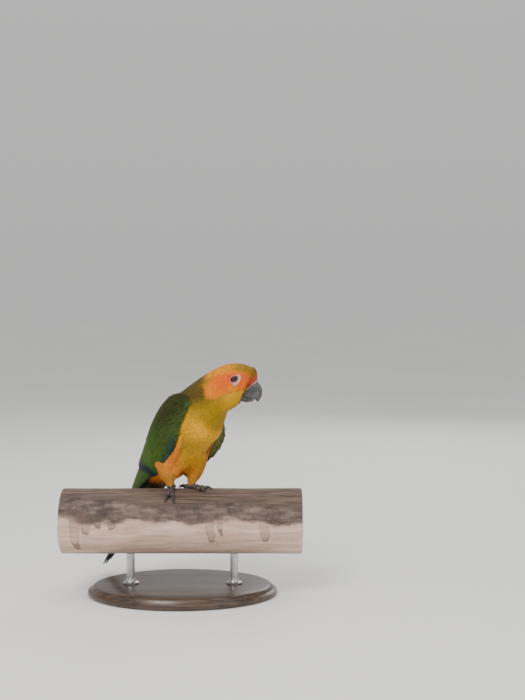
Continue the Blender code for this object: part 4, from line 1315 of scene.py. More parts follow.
    def thigh(self, paints, side):
        """Short soft feathers down the leg to the ankle."""
        seed = 21 + SIDES.index(side)
        draw = np.random.default_rng(seed)
        limb = Limb(LEG_ROUTES[side])
        roots = scatter(limb, 0.2, 2.95, lambda u: 1.55, lambda u: 1.45, seed)
        u, v = roots[:, 0], roots[:, 1]
        lengths = 7.0 * (1 + draw.uniform(-0.16, 0.16, len(u))) * (1 - 0.45 * smooth(u, 2.2, 3.0))
        widths = 2.5 * (1 + draw.uniform(-0.1, 0.1, len(u)))
        colours = np.repeat(paints["thigh"][None], len(u), axis=0)
        colours = mixed(colours, paints["flank"], 0.45 * (1 - smooth(u, 0.4, 1.8)))
        colours = mixed(colours, paints["fleck"], (draw.random(len(u)) < 0.16) * 0.5)
        high = draw.uniform(-0.15, 0.2, len(u))
        bake = np.column_stack([(v % 360.0) / 360.0, u / 3.0])
        return coat("thigh_coat_" + side, limb, roots, colours, lengths, widths, np.full(len(u), -1.5),
                    high, False, seed, draw.normal(0.0, 0.08, len(u)), bake)


def wing_station(distance):
    """The station at a distance in millimetres from the wing's front."""
    return np.interp(distance + COVER_FORM.knots[7], COVER_FORM.knots, np.arange(len(COVER)))


def wing_colour(paints, distance, f):
    """The wing's colour by distance from its front and place from its lower edge."""
    colour = mixed(paints["wing_dark"], paints["wing_green"], smooth(distance + 12 * (0.5 - f), 24, 76))
    front = (1 - smooth(f, 0.05, 0.40)) * (1 - smooth(distance, 28, 50))
    colour = mixed(colour, paints["wing_dark"] * (1.7, 2.3, 4.6), front * 0.85)
    edge = (1 - smooth(f, 0.0, 0.11)) * smooth(distance, 24, 42) * (1 - 0.6 * smooth(distance, 62, 80))
    return mixed(colour, paints["wing_blue"], edge * 0.85)


def wing_feathers(name, side, rows, low, steps, columns, shape, paints, seed, lean, tip_colour=None,
                  tip_share=0.0, blue_web=0.0, thickness=0.32):
    """A group of wing feathers.

    Each row holds a feather's root and tip, both as distance and place across, its width and the
    height of its tip over the body; the roots all lie at the low height.
    """
    draw = np.random.default_rng(seed)
    wing = Wing(side)
    rows = np.array(rows)
    start, end, widths, high = rows[:, 0:2], rows[:, 2:4], rows[:, 4], rows[:, 5:6]
    t = 1.0 - (1.0 - np.linspace(0.0, 1.0, steps)) ** 1.5
    distance = start[:, 0:1] + (end[:, 0:1] - start[:, 0:1]) * t
    f = start[:, 1:2] + (end[:, 1:2] - start[:, 1:2]) * t
    u = wing_station(distance)
    lift = low + (high - low) * smooth(t, 0.0, 0.9)
    spine = wing.at(u, f, lift)
    along = unit(np.gradient(spine, axis=1))
    out = wing.out(u, f)
    toward = wing.at(u, f + 0.02) - wing.at(u, f)
    across = unit(toward - (toward * along).sum(-1, keepdims=True) * along)
    out = unit(np.cross(across, along)) * np.sign((np.cross(across, along) * out).sum(-1, keepdims=True))
    if side == "right":
        across = -across
    half = widths[:, None] * 0.5 * np.interp(t, *shape)[None]
    s = np.linspace(-1.0, 1.0, columns)
    colours = wing_colour(paints, distance, f)
    tone = np.clip(1 + draw.normal(0.0, 0.10, (len(start), 1, 1)), 0.7, 1.35)
    warm = np.clip(1 + draw.normal(0.0, 0.12, (len(start), 1)), 0.7, 1.4)
    colours = colours * tone
    colours[..., 0] *= warm
    if tip_colour is not None:
        colours = mixed(colours, tip_colour, smooth(t, 1 - tip_share, 1 - tip_share * 0.55)[None] * 0.95)
    upper = s if side == "left" else -s
    webs = colours[:, :, None] * (1.0 - 0.28 * smooth(upper, 0.1, 1.0))[:, None]
    webs = mixed(webs, paints["wing_blue"], blue_web * smooth(-upper, 0.0, 0.9))
    bake = np.column_stack([np.clip(start[:, 1], 0, 1), np.clip(start[:, 0] / WING_REACH, 0, 1)])
    return feathers(name, spine, across, out, half, thickness, webs, bake, columns, 0.12,
                    -lean if side == "right" else lean, paints["wing_under"])


# A feather's half width along its length, from root to tip
COVERT_SHAPE = ((0.0, 0.25, 0.6, 0.82, 0.94, 1.0), (0.6, 0.95, 1.0, 0.80, 0.46, 0.10))
QUILL_SHAPE = ((0.0, 0.2, 0.7, 0.88, 0.96, 1.0), (0.55, 0.95, 1.0, 0.74, 0.42, 0.10))


class CONURE_OT_wings(bpy.types.Operator):
    """Lay both folded wings, from the small coverts of the shoulder to the flight feathers"""

    bl_idname = "conure.wings"
    bl_label = "Wings"

    # First and last distance of the roots, row gap, spacing, length and width
    small_rows = (-2.2, 42.0, 2.5, 2.8, 8.5, 4.6)

    # Each row of greater coverts: distance of its roots and tips, count, width and height of the tips
    covert_rows = ((38.0, 56.0, 13, 6.0, 2.3), (44.0, 64.0, 12, 6.6, 2.4), (52.0, 80.0, 12, 7.4, 2.5))

    def execute(self, context):
        paints = plumage()
        down = skin_material()
        small = feather_material("plumage_body")
        quill = feather_material("plumage_quill")
        for side in SIDES:
            for make, material in ((self.arm, down), (self.lesser, small), (self.coverts, quill),
                                   (self.secondaries, quill), (self.primaries, quill)):
                keep(make(side, paints), material, "flight_feathers", "wing_" + side)
        return {"FINISHED"}

    def arm(self, side, paints):
        """The wing's arm under its small coverts, as a flat shell."""
        wing = Wing(side)
        u = np.linspace(7.04, 12.2, 60)
        f = np.linspace(0.05, 0.97, 30)
        grid_u, grid_f = np.meshgrid(u, f, indexing="ij")
        over = wing.at(grid_u, grid_f, 0.9)
        under = wing.at(grid_u, grid_f, 0.1)
        arm = wrapped("wing_arm_" + side, np.concatenate([over, under[:, ::-1]], axis=1))
        arm.data.uv_layers[0].name = "OFBake"
        facing = np.array([vert.normal for vert in arm.data.vertices])
        outward = wing.out(9.5, 0.45)
        paint(arm, mixed(paints["wing_under"], paints["wing_dark"], smooth(facing @ outward, -0.35, -0.1)))
        return shade(arm, 60)

    def lesser(self, side, paints):
        """Rows of small coverts over the shoulder, like tiles."""
        first, last, gap, spacing, length, width = self.small_rows
        seed = 31 + SIDES.index(side)
        draw = np.random.default_rng(seed)
        start = []
        distance = first
        odd = 0
        wing = Wing(side)
        while distance < last:
            u = np.full(21, wing_station(max(distance, 0.9)))
            chord = wing.at(u, np.linspace(0, 1, 21))
            count = max(2, int(round(np.linalg.norm(np.diff(chord, axis=0), axis=1).sum() / spacing)))
            f = (np.arange(-1, count + 1) + 0.5 * odd) / count
            f = f[(f < 1.02) & (f > -0.035)]
            start += [(distance + draw.uniform(-0.7, 0.7), place + draw.uniform(-0.2, 0.2) / count)
                      for place in f]
            distance += gap
            odd = 1 - odd
        start = np.array(start)
        grow = 0.72 + 0.5 * smooth(start[:, 0], 4, 40)
        rim = 1 - smooth(start[:, 1], 0.0, 0.16)
        count = len(start)
        lengths = length * grow * (1 + draw.uniform(-0.12, 0.12, count)) * (1 - 0.05 * rim)
        across = start[:, 1] + draw.normal(0, 0.010, count) + 0.03 * rim
        rows = np.column_stack([start, start[:, 0] + lengths, across, width * grow,
                                2.1 + draw.uniform(-0.1, 0.15, count)])
        return wing_feathers("lesser_coverts_" + side, side, rows, 0.5, 6, 5, COVERT_SHAPE, paints, seed,
                             0.06, thickness=0.24)

    def coverts(self, side, paints):
        """Greater coverts, then the alula and the primary coverts along the lower edge."""
        draw = np.random.default_rng(41 + SIDES.index(side))
        rows = []
        for root, tip, count, width, high in self.covert_rows:
            for k in range(count):
                f = 0.02 + 0.93 * (k + 0.5 * draw.random() * 0.3) / (count - 1)
                rows.append((root, f, tip + draw.uniform(-1.2, 1.2), f + 0.005, width, high))
        for k in range(4):
            rows.append((24.0 + 3 * k, 0.03 + 0.035 * k, 50.0 + 3.5 * k, 0.04 + 0.03 * k, 5.6, 2.6))
        for k in range(8):
            rows.append((42.0 + 2 * k, 0.02 + 0.025 * k, 72.0 + 2.2 * k, 0.05 + 0.03 * k, 5.8, 2.2))
        return wing_feathers("coverts_" + side, side, rows, 0.8, 10, 7, COVERT_SHAPE, paints,
                             43 + SIDES.index(side), 0.07)

    def secondaries(self, side, paints):
        """The inner flight feathers, whose dark blue tips make the wing's band."""
        rows = []
        count = 11
        for k in range(count):
            share = k / (count - 1)
            f = 0.05 + 0.86 * share
            tip = 87.5 + 11.0 * float(smooth(share, 0.0, 0.7)) + 1.2 * math.sin(5.1 * k)
            rows.append((58.0, f, tip, f + 0.02, 8.8, 2.9 + 0.8 * share))
        return wing_feathers("secondaries_" + side, side, rows, 0.7, 14, 7, QUILL_SHAPE, paints,
                             47 + SIDES.index(side), 0.08, tip_colour=paints["wing_band"], tip_share=0.34)

    def primaries(self, side, paints):
        """The long outer flight feathers, which close to a point over the root of the tail."""
        rows = []
        count = 10
        for k in range(count):
            share = k / (count - 1)
            tip = 106.0 + 54.0 * share ** 0.85
            rows.append((78.0, 0.84 - 0.72 * share, tip, 0.86 - 0.36 * share, 8.2 - 1.4 * share,
                         2.8 + 1.0 * share))
        return wing_feathers("primaries_" + side, side, rows, 0.5, 18, 7, QUILL_SHAPE, paints,
                             53 + SIDES.index(side), 0.14, tip_colour=paints["tail_tip"], tip_share=0.22,
                             blue_web=0.35)


class CONURE_OT_tail(bpy.types.Operator):
    """Lay the twelve long tail feathers with their coverts above and below"""

    bl_idname = "conure.tail"
    bl_label = "Tail"

    def execute(self, context):
        paints = plumage()
        quill = feather_material("plumage_quill")
        keep(self.rectrices(paints), quill, "flight_feathers", "tail")
        keep(self.coverts(paints), quill, "flight_feathers", "tail")
        return {"FINISHED"}

    def vanes(self, name, rows, shape, paints, steps, columns, seed, camber):
        """Rows hold start, length, side at root and tip, height at root and tip, turn and width."""
        fan = Fan()
        draw = np.random.default_rng(seed)
        t = np.linspace(0.0, 1.0, steps)
        rows = np.array(rows)
        behind = rows[:, 0:1] + rows[:, 1:2] * t
        side = (rows[:, 2:3] + (rows[:, 3:4] - rows[:, 2:3]) * t) * (0.35 + 0.65 * smooth(t, -0.25, 0.55))
        height = rows[:, 4:5] + (rows[:, 5:6] - rows[:, 4:5]) * t
        spine = fan.at(behind, side, height)
        turn = rows[:, 6][:, None, None]
        along = unit(np.gradient(spine, axis=1))
        across = -fan.left * np.cos(turn) + fan.up * np.sin(turn)
        across = unit(across - (across * along).sum(-1, keepdims=True) * along)
        out = np.cross(across, along)
        half = rows[:, 7:8] * 0.5 * np.interp(t, *shape)[None]
        colours = mixed(paints["tail_green"], paints["tail_tip"], smooth(behind, 42.0, 78.0))
        blue = smooth(behind, 20.0, 50.0) * (1 - smooth(behind, 60, 80))
        colours = mixed(colours, paints["wing_blue"], 0.35 * blue)
        colours = colours * np.clip(1 + draw.normal(0, 0.09, (len(rows), 1, 1)), 0.75, 1.3)
        bake = np.column_stack([np.clip(rows[:, 2] / 30 + 0.5, 0, 1), np.clip((rows[:, 0] + 20) / 130, 0, 1)])
        return feathers(name, spine, across, out, half, 0.36, colours, bake, columns, camber)

    def rectrices(self, paints):
        """The long graduated tail feathers in pairs, the middle pair on top."""
        rows = []
        for k, (share, side, width) in enumerate(RECTRICES):
            for sign, drop in ((-1, 0.0), (1, 0.4)):
                height = -0.85 * k - drop + 0.2
                rows.append((-8.0, TAIL_LENGTH * share, sign * side, sign * side * 0.5, height, height,
                             sign * math.radians(4.0 + 2.0 * k), width))
        shape = ((0.0, 0.15, 0.5, 0.85, 0.96, 1.0), (0.40, 0.90, 1.0, 0.66, 0.36, 0.12))
        return self.vanes("tail_feathers", rows, shape, paints, 22, 7, 61, 0.10)

    # Each row of tail coverts: start, length, spread, and height at root and tip
    upper_rows = ((-30.0, 26.0, 3.4, 11.6, 6.6), (-22.0, 30.0, 2.7, 8.6, 3.0), (-14.0, 36.0, 2.4, 6.0, 1.5))
    under_rows = ((-24.0, 22.0, 2.6, -5.8, -6.2), (-17.0, 26.0, 2.3, -4.6, -6.2),
                  (-9.0, 28.0, 2.0, -3.9, -5.8))

    def coverts(self, paints):
        """Short feathers that cover the tail's root above and below."""
        rows = []
        for start, length, spread, top, low in self.upper_rows:
            for k in range(-3, 4):
                rows.append((start + abs(k), length - 2.0 * abs(k), spread * k, spread * k * 0.8,
                             top - 0.35 * k * k, low - 0.25 * k * k, math.radians(-7.0 * k), 5.8))
        for start, length, spread, top, low in self.under_rows:
            for k in range(-3, 4):
                rows.append((start + abs(k), length - 2.0 * abs(k), spread * k, spread * k * 0.8,
                             top + 0.25 * abs(k), low + 0.3 * abs(k), math.radians(7.0 * k), 5.2))
        return self.vanes("tail_coverts", rows, COVERT_SHAPE, paints, 9, 5, 67, 0.14)


class CONURE_OT_eyes(bpy.types.Operator):
    """Model the eyes with their lids and the ring of bare skin round each"""

    bl_idname = "conure.eyes"
    bl_label = "Eyes"

    def execute(self, context):
        for side in SIDES:
            centre, look, _, angle = eye_centre(side)
            eye = primitive(bpy.ops.mesh.primitive_uv_sphere_add, segments=48, ring_count=32,
                            radius=EYE_RADIUS * MM, location=world(centre))
            eye.name = "eyeball_" + side
            turned_to(eye, Vector(look).to_track_quat("Z", "Y"))
            self.cornea(eye, centre, look)
            shade(eye, 60)
            keep(eye, eye_material(), "eye", "eye_" + side)
            keep(self.ring(side, angle), bare_skin_material(), "head_feathers")
        return {"FINISHED"}

    def cornea(self, eye, centre, look):
        """Swells the front of the eyeball a little."""
        middle = Vector(world(centre))
        axis = Vector(look)
        for vert in eye.data.vertices:
            offset = vert.co - middle
            facing = offset.normalized().dot(axis)
            vert.co = vert.co + axis * (0.25 * MM * float(smooth(facing, 0.80, 1.0)))

    def ring(self, side, angle):
        """A torus pressed flat on the head: a rolled lid inside and creased bare skin outside."""
        ring = primitive(bpy.ops.mesh.primitive_torus_add, major_segments=72, minor_segments=28,
                         major_radius=1.0, minor_radius=0.25, location=(0.0, 0.0, 0.0))
        ring.name = "eye_ring_" + side
        co = np.array([v.co for v in ring.data.vertices])
        theta = np.arctan2(co[:, 1], co[:, 0])
        radial = (np.hypot(co[:, 0], co[:, 1]) - 1.0) / 0.25
        level = co[:, 2] / 0.25
        facing = np.cos(theta)
        front = smooth(1.3 * facing - 0.4 * np.sin(theta), -0.6, 1.2)
        outer = RING_OUTER * (RING_BACK + (1 - RING_BACK) * front)
        share = np.clip((radial + 1.0) / 2.0, 0.0, 1.0)
        lid = 1.0 - 0.10 * np.abs(np.sin(theta)) ** 2
        reach = RING_INNER * lid + (outer - RING_INNER * lid) * share ** 1.15
        rolled = np.exp(-((share - 0.10) / 0.11) ** 2)
        crease = 0.10 * np.sin(share * 19.0 + 0.5 * np.sin(theta * 3.0)) * smooth(share, 0.2, 0.4)
        wrinkle = 0.05 * np.sin(theta * 22.0 + share * 7.0) * smooth(share, 0.25, 0.6)
        dome = 0.55 * (1 - share) + 0.15
        lift = np.where(level > 0, (dome + 0.55 * rolled + crease + wrinkle) * np.clip(level, 0, 1) ** 0.5,
                        1.6 * level) - 0.35 * smooth(share, 0.75, 1.0)
        probe = BODY_FORM.skin(EYE_STATION + np.array([0.05, -0.05, 0.0, 0.0]),
                               angle + np.array([0.0, 0.0, 2.0, -2.0]))
        per_u = np.linalg.norm(probe[0] - probe[1]) / 0.1
        per_v = np.linalg.norm(probe[2] - probe[3]) / 4.0
        upward = 1.0 if side == "left" else -1.0
        u = EYE_STATION - reach * facing / per_u
        v = angle + upward * reach * np.sin(theta) / per_v
        store(ring.data.vertices, "co", world(BODY_FORM.at(u, v, lift)))
        face_outwards(ring)
        pale = np.array([0.62, 0.40, 0.34])
        pink = np.array([0.60, 0.13, 0.05])
        rim = np.array([0.12, 0.050, 0.042])
        tint = mixed(pink, pale, front * (1 - smooth(share, 0.45, 1.0) * 0.75))
        tint = mixed(tint, rim, 1 - smooth(share, 0.03, 0.16))
        paint(ring, tint)
        return shade(ring, 80)


def face_point(forward, up, side=0.0):
    """Points ahead of, above and beside the middle of the face."""
    heading = math.radians(FACE_HEADING)
    ahead = np.array([math.cos(heading), -math.sin(heading), 0.0])
    left = np.array([math.sin(heading), math.cos(heading), 0.0])
    forward, up, side = (np.asarray(a, float)[..., None] for a in np.broadcast_arrays(forward, up, side))
    return np.array(FACE) + ahead * forward + left * side + np.array([0.0, 0.0, 1.0]) * up


class CONURE_OT_bill(bpy.types.Operator):
    """Model the hooked bill, its cere and nostrils"""

    bl_idname = "conure.bill"
    bl_label = "Bill"

    def execute(self, context):
        horn = bill_material()
        keep(self.upper(), horn, "bill", "bill_upper")
        keep(self.lower(), horn, "bill", "bill_lower")
        keep(self.cere(), bare_skin_material(), "bill")
        return {"FINISHED"}

    def upper(self):
        """The upper half with its ridge, its notched edge and its hollow roof."""
        slope = math.radians(BILL_SLOPE)
        table = eased(UPPER_BILL, 44)
        table[:, [0, 2]] += math.cos(slope) * 0.2
        table[:, [1, 3]] -= math.sin(slope) * 0.2
        turn = np.linspace(0.0, 1.0, 17)
        depth = turn ** 2
        share = (1 - (1 - depth) ** 2.3) ** 0.5
        rings = []
        for k, row in enumerate(table):
            far = k / (len(table) - 1)
            outer, inner = row[0:2], row[2:4]
            line = outer + (inner - outer) * depth[:, None]
            notch = 0.5 * math.exp(-((far - 0.62) / 0.07) ** 2)
            fade = smooth(depth, 0.75, 1.0)[:, None]
            line = line - unit(inner - outer) * notch * fade
            ridge = 1.0 - 0.10 * np.exp(-((depth - 0.3) / 0.2) ** 2)
            side = share * row[4] * ridge
            first = face_point(line[:, 0], line[:, 1], side)
            cross = np.linspace(0.0, 1.0, 9)[1:-1]
            hollow = np.sin(np.pi * cross) * 1.4 * (1 - far)
            roof = inner[None] - unit(inner - outer)[None] * hollow[:, None]
            under = face_point(roof[:, 0], roof[:, 1], row[4] * (1 - 2 * cross))
            second = face_point(line[1:, 0], line[1:, 1], -side[1:])
            rings.append(np.concatenate([first, under, second[::-1]]))
        return shade(wrapped("upper_bill", rings), 50)

    def lower(self):
        """The short blunt lower half."""
        table = eased(LOWER_BILL, 26)
        turn = np.linspace(0.0, 1.0, 13)
        depth = 1 - (1 - turn) ** 1.8
        share = (1 - depth ** 2.6) ** 0.5
        rings = []
        for row in table:
            outer, inner = row[0:2], row[2:4]
            line = outer + (inner - outer) * depth[:, None]
            side = share * row[4]
            first = face_point(line[:, 0], line[:, 1], side)
            second = face_point(line[:-1, 0], line[:-1, 1], -side[:-1])
            rings.append(np.concatenate([first, second[::-1]]))
        return shade(wrapped("lower_bill", rings), 50)

    def cere(self):
        """A fleshy band over the bill's base, with a rimmed nostril on each side whose hole is a near black
        disc of painted shade.
        """
        depth = np.linspace(0.0, 1.0, 21)[1:] ** 1.6 * 0.78
        share = (1 - (1 - depth) ** 2.3) ** 0.5
        outer, inner = np.array(UPPER_BILL[0][0:2]), np.array(UPPER_BILL[0][2:4])
        line = outer + (inner - outer) * depth[:, None]
        left = face_point(line[:, 0] + 0.5, line[:, 1] + 0.5, share * 7.5)
        right = face_point(line[:, 0] + 0.5, line[:, 1] + 0.5, -share * 7.5)
        top = face_point([outer[0] + 0.4], [outer[1] + 0.4], [0.0])
        points = np.concatenate([left[::-1], top, right])
        t = np.linspace(-1.0, 1.0, len(points))
        radii = 0.88 * (1 - np.abs(t) ** 3 * 0.72) + 0.50 * np.exp(-((np.abs(t) - 0.34) / 0.11) ** 2)
        radii = np.interp(np.linspace(-1, 1, 90), t, radii)
        band = swept("cere", eased(points, 90), radii, 20, (0.7, 0.0, 0.7))
        parts = [band]
        for sign in (1.0, -1.0):
            place = world(face_point(7.75, 7.65, sign * 3.75))
            turn = Vector((0.62, sign * 0.42, 0.66)).to_track_quat("Z", "Y")
            rim = primitive(bpy.ops.mesh.primitive_torus_add, major_segments=28, minor_segments=12,
                            major_radius=0.85 * MM, minor_radius=0.36 * MM, location=place)
            # The hole is a sunken disc painted near black: painted shade inside the nostril.
            nostril_shade = primitive(bpy.ops.mesh.primitive_uv_sphere_add, segments=20, ring_count=10,
                             radius=0.62 * MM, location=place, scale=(1.0, 1.0, 0.5))
            parts += [turned_to(rim, turn), turned_to(nostril_shade, turn)]
        counts = [len(part.data.vertices) for part in parts]
        pale = np.array([0.38, 0.265, 0.230])
        dusk = np.array([0.33, 0.175, 0.135])
        # Near black, the painted shade of the nostril holes.
        dark = np.array([0.010, 0.007, 0.007])
        places = np.array([v.co for v in band.data.vertices])
        mid = world(face_point(8.4, 8.3, 0.0))
        tint = [mixed(dusk, pale, smooth(np.linalg.norm(places - mid, axis=1) / MM, 1.0, 4.0))]
        for k, count in enumerate(counts[1:]):
            # Rims a little darker than the band; holes near black as painted shade.
            tint.append(np.repeat([pale * 0.8 if k % 2 == 0 else dark], count, axis=0))
        for part, colours in zip(parts, tint):
            paint(part, colours)
        return shade(joined("cere", parts), 80)


def on_log(x, turn, lift):
    """Points over the log at x, turned from its top toward the viewer, at a height over it."""
    angle = np.radians(turn)
    reach = PERCH_RADIUS + lift
    across, height = -reach * np.sin(angle), reach * np.cos(angle) - PERCH_RADIUS
    return np.stack(np.broadcast_arrays(x, across, height), axis=-1)


class CONURE_OT_feet(bpy.types.Operator):
    """Model both scaled feet with their claws, gripping the log"""

    bl_idname = "conure.feet"
    bl_label = "Feet"

    def execute(self, context):
        skin = foot_material()
        horn = claw_material()
        for side in SIDES:
            keep(self.foot(side), skin, "foot_skin", "foot_" + side)
            claws = joined("claws_" + side, [self.claw(side, k) for k in range(len(TOES[side]))])
            keep(shade(claws, 60), horn, "foot_skin")
        return {"FINISHED"}

    def toe_line(self, side, k, t):
        """Places on the log, as x and turn, along a toe's direction."""
        place = FEET[side]
        direction, length = TOES[side][k]
        angle = math.radians(direction)
        far = t * length
        x = place[0] + far * math.cos(angle)
        turn = place[1] + np.degrees(far * math.sin(angle) / (PERCH_RADIUS + TOE_RADIUS))
        return x, turn

    def toe(self, side, k):
        """A toe with knuckles, soft pads under it and overlapping plates on top."""
        length = TOES[side][k][1]
        t = np.linspace(0.0, 1.0, 64)
        x, turn = self.toe_line(side, k, t)
        radius = TOE_RADIUS * (1.15 - 0.32 * t + 0.10 * np.cos(t * 6 * np.pi))
        points = on_log(x, turn, radius * 0.98)
        roll = full_turn(20)
        plate = (t * length / 1.25) % 1.0
        step = 0.07 * (1 - plate) - 0.02
        over = smooth(np.sin(roll), -0.1, 0.5)
        pads = 0.06 * np.cos(t * 6 * np.pi)[:, None] * smooth(-np.sin(roll), 0.0, 0.7)
        reach = radius[:, None] * (1 + step[:, None] * over[None] + pads)
        normal = unit(on_log(x, turn, radius + 1.0) - on_log(x, turn, radius))
        along = unit(np.gradient(points, axis=0))
        across = unit(np.cross(along, normal))
        return wrapped("toe", rings_along(points, across, normal, reach, roll))

    def foot(self, side):
        """The ringed shank, the palm and the four toes as one closed mesh."""
        place = FEET[side]
        route = eased([(*p, r) for p, r in LEG_ROUTES[side]], 10)
        above, ankle = route[-2, :3], route[-1, :3]
        down = unit(ankle - above)
        pad = on_log(*place, TOE_RADIUS * 1.6)
        points = eased([ankle - down * 2.0, ankle + down * 1.5, (ankle + pad) / 2 + down, pad], 40)
        t = np.linspace(0.0, 1.0, 40)
        ridge = 0.06 * (1 - (t * 9) % 1.0)
        radii = (SHANK_RADIUS * (1.0 + 0.12 * t ** 3)) * (1 + ridge)
        shank = swept("foot_mesh_" + side, points, radii, 20, (0.0, 1.0, 0.0))
        palm = settle(primitive(
            bpy.ops.mesh.primitive_uv_sphere_add, segments=24, ring_count=16,
            radius=TOE_RADIUS * 1.55 * MM, location=world(on_log(*place, TOE_RADIUS * 1.3))))
        toes = [self.toe(side, k) for k in range(len(TOES[side]))]
        united(shank, [palm, *toes])
        shank.name = "scaled_foot_" + side
        return shade(shank, 50)

    def claw(self, side, k):
        """A curved claw that leaves the toe, arches and touches the wood."""
        length = TOES[side][k][1]
        t = np.linspace(0.0, 1.0, 18)
        x, turn = self.toe_line(side, k, (length - 1.2 + t * (CLAW_LENGTH + 1.2)) / length)
        radius = TOE_RADIUS * 0.66 * (1 - t ** 1.3) + 0.14
        height = TOE_RADIUS * 0.95 * (1 - t) ** 0.7 + 1.1 * np.sin(np.pi * np.minimum(t * 1.05, 1.0)) + 0.25
        points = on_log(x, turn, height)
        return swept("claw", points, radius, 12, flatten=1.15)


class CONURE_OT_perch(bpy.types.Operator):
    """Model the cut of log with its worn surface and sawn ends"""

    bl_idname = "conure.perch"
    bl_label = "Log"

    def execute(self, context):
        half = PERCH_LENGTH / 2
        # The rounded edge of a sawn end: how far in and how far under the surface
        edge_in, edge_under = [0.0, 0.25, 0.8], [1.3, 0.7, 0.2]
        middle = np.linspace(1.6 - half, half - 1.6, 240)
        x = np.concatenate([np.subtract(edge_in, half), middle, np.subtract(half, edge_in[::-1])])
        drop = np.concatenate([edge_under, 0 * middle, edge_under[::-1]])
        turn = full_turn(160)
        worn = np.array([[self.wear(place, angle) for angle in turn] for place in x])
        reach = PERCH_RADIUS + np.minimum(worn, 0.0) - drop[:, None]
        rings = np.stack([np.broadcast_to(x[:, None], reach.shape), reach * np.sin(turn),
                          -PERCH_RADIUS + reach * np.cos(turn)], axis=-1)
        ends = []
        for index, sign in ((0, -1), (-1, 1)):
            rim = rings[index]
            centre = np.array([sign * half, 0.0, -PERCH_RADIUS])
            shares = (0.02, 0.2, 0.4, 0.6, 0.8, 0.93)
            loops = [centre + (rim - centre) * share + np.array([-sign * 0.12 * (k % 2), 0.0, 0.0])
                     for k, share in enumerate(shares)]
            ends.append(np.array(loops))
        log = wrapped("log", np.concatenate([ends[0], rings, ends[1][::-1]]))
        keep(log, log_material(), "log_wood", "perch")
        log.data.materials.append(log_end_material())
        for face in log.data.polygons:
            if abs(face.normal.x) > 0.8 and abs(face.center.x) > (half - 0.9) * MM:
                face.material_index = 1
        shade(log, 40)
        return {"FINISHED"}

    def wear(self, place, angle):
        """The height of the worn surface: gentle hollows, fine relief and long drying cracks."""
        hollow, fine, crack = (
            Vector((place * along, math.cos(angle) * around, math.sin(angle) * around))
            for along, around in ((0.02, 1.1), (0.05, 6.0), (0.012, 9.0)))
        deep = max(0.0, abs(noise.noise(crack)) * -14.0 + 1.0) * (noise.noise(hollow * 2.3) > 0.05)
        return -0.30 + 0.28 * noise.noise(hollow) + 0.16 * noise.noise(fine) - 0.45 * deep


class CONURE_OT_stand(bpy.types.Operator):
    """Model the oval base with its moulded edge, the rods and their collars"""

    bl_idname = "conure.stand"
    bl_label = "Stand"

    def execute(self, context):
        base = self.turned("oval_base", (
            (2.0, 0.0), (92.0, 0.0), (93.6, 0.5), (94.6, 1.6), (94.9, 3.2), (94.4, 4.8), (92.6, 5.9),
            (91.2, 6.3), (90.6, 7.0), (90.0, 8.4), (88.4, 9.5), (86.0, 10.0), (60.0, 10.0), (2.0, 10.0)),
            (0.0, 0.0), 160, BASE_DEPTH / BASE_WIDTH)
        keep(shade(base, 35), base_material(), "stand_base", "stand_base")
        steel = steel_material()
        for side, sign in (("left", -1), ("right", 1)):
            place = (sign * ROD_SPACING / 2, 0.0)
            collar = self.turned("rod_collar_" + side, (
                (ROD_RADIUS - 0.4, 10.1), (7.6, 10.1), (8.0, 10.5), (8.0, 11.4), (7.4, 12.0), (5.6, 12.4),
                (5.0, 13.2), (4.9, 15.2), (4.5, 15.7), (ROD_RADIUS - 0.4, 15.7)), place, 64, 1.0)
            keep(shade(collar, 35), steel, "stand_rod")
            rod = frame["nodes"]["stand_rod_" + side]
            for slot in rod.material_slots:
                slot.material = steel
        return {"FINISHED"}

    def turned(self, name, profile, place, sides, squash):
        """A profile of radius and height spun round an upright axis, with rounded corners kept."""
        turn = full_turn(sides)
        rings = [np.stack([place[0] + r * np.cos(turn), place[1] + r * squash * np.sin(turn),
                           np.full(sides, z - PERCH_TOP)], axis=-1) for r, z in profile]
        return wrapped(name, rings)


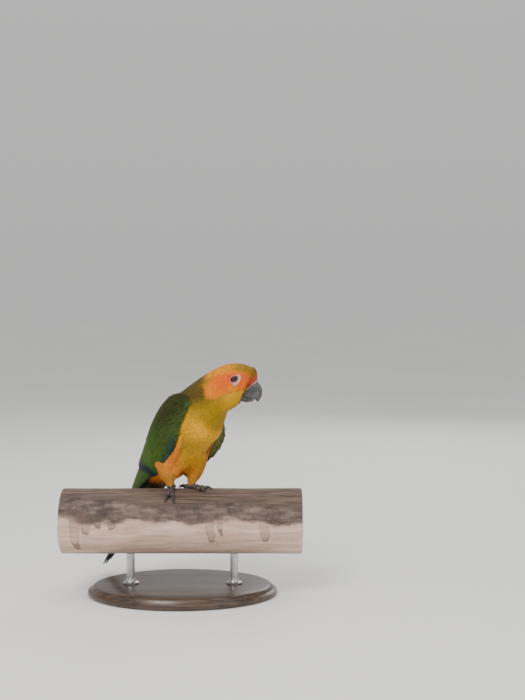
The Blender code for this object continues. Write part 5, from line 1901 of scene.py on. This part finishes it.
class CONURE_OT_stage(bpy.types.Operator):
    """Lay the pale floor, set the soft lights and stand the camera"""

    bl_idname = "conure.stage"
    bl_label = "Stage"

    # Name, place, size, power and tint of each soft light; all face the bird
    lights = (
        ("light_key", (-0.55, -1.25, 1.45), 0.8, 24.0, (1.0, 0.97, 0.93)),
        ("light_fill", (1.5, -1.1, 0.75), 1.3, 7.0, (0.95, 0.97, 1.0)),
        ("light_top", (0.1, 0.1, 1.7), 1.2, 7.0, (1.0, 1.0, 1.0)),
        ("light_back", (0.5, 1.5, 1.0), 1.0, 7.0, (1.0, 0.98, 0.95)),
    )
    target = (0.0, 0.0, 0.16)

    # Heights where the sky starts and ends to grow lighter, and its strength at each, so that the
    # far floor and the sky meet without a line
    sky_grade = (0.0, 0.40, 0.69, 0.82)

    def execute(self, context):
        group = settings().conure_stage
        floor = primitive(bpy.ops.mesh.primitive_circle_add, vertices=96, radius=group.floor_size / 2,
                          fill_type="NGON", location=(0.0, 0.0, -0.0002))
        floor.name = "stage_floor"
        floor.data.materials.append(floor_material())
        settle(floor)
        for name, place, size, power, tint in self.lights:
            data = bpy.data.lights.new(name, "AREA")
            data.shape = "DISK"
            data.size = size
            data.energy = power
            data.color = tint
            lamp = bpy.data.objects.new(name, data)
            lamp.location = place
            lamp.rotation_euler = (Vector(self.target) - Vector(place)).to_track_quat("-Z", "Y").to_euler()
            context.scene.collection.objects.link(lamp)
        sky = bpy.data.worlds.new("stage_sky")
        sky.use_nodes = True
        nodes, links = sky.node_tree.nodes, sky.node_tree.links
        nodes["Background"].inputs["Color"].default_value = (0.80, 0.80, 0.79, 1.0)
        place, split, grade = (nodes.new(kind) for kind in (
            "ShaderNodeTexCoord", "ShaderNodeSeparateXYZ", "ShaderNodeMapRange"))
        for k, value in enumerate(self.sky_grade):
            grade.inputs[k + 1].default_value = value
        links.new(place.outputs["Generated"], split.inputs[0])
        links.new(split.outputs["Z"], grade.inputs["Value"])
        links.new(grade.outputs[0], nodes["Background"].inputs["Strength"])
        context.scene.world = sky
        data = bpy.data.cameras.new("photo_camera")
        data.lens = group.camera_lens
        data.sensor_width = 36.0
        camera = bpy.data.objects.new("photo_camera", data)
        camera.location = (group.camera_side, -group.camera_distance, group.camera_height)
        camera.rotation_euler = (math.pi / 2 - group.camera_tilt, 0.0, 0.0)
        context.scene.collection.objects.link(camera)
        context.scene.camera = camera
        return {"FINISHED"}


OPERATORS = (CONURE_OT_skin, CONURE_OT_coat, CONURE_OT_wings, CONURE_OT_tail, CONURE_OT_eyes,
             CONURE_OT_bill, CONURE_OT_feet, CONURE_OT_perch, CONURE_OT_stand, CONURE_OT_stage)


class CONURE_PT_panel(bpy.types.Panel):
    """The conure's steps and settings"""

    bl_idname = "CONURE_PT_panel"
    bl_label = "Sun Conure"
    bl_space_type = "VIEW_3D"
    bl_region_type = "UI"
    bl_category = "Conure"

    def draw(self, context):
        layout = self.layout
        for operator in OPERATORS:
            layout.operator(operator.bl_idname)
        for group in (context.scene.conure_plumage, context.scene.conure_coat, context.scene.conure_stage):
            box = layout.box()
            for name in setting_names(group):
                box.prop(group, name)


CLASSES = (ConurePlumage, ConureCoat, ConureStage, *OPERATORS, CONURE_PT_panel)


def register():
    for item in CLASSES:
        bpy.utils.register_class(item)
    bpy.types.Scene.conure_plumage = PointerProperty(type=ConurePlumage)
    bpy.types.Scene.conure_coat = PointerProperty(type=ConureCoat)
    bpy.types.Scene.conure_stage = PointerProperty(type=ConureStage)


def unregister():
    del bpy.types.Scene.conure_plumage
    del bpy.types.Scene.conure_coat
    del bpy.types.Scene.conure_stage
    for item in reversed(CLASSES):
        bpy.utils.unregister_class(item)


def main():
    register()
    bpy.ops.conure.skin()
    bpy.ops.conure.coat()
    bpy.ops.conure.wings()
    bpy.ops.conure.tail()
    bpy.ops.conure.eyes()
    bpy.ops.conure.bill()
    bpy.ops.conure.feet()
    bpy.ops.conure.perch()
    bpy.ops.conure.stand()
    bpy.ops.conure.stage()


if __name__ == "__main__":
    main()
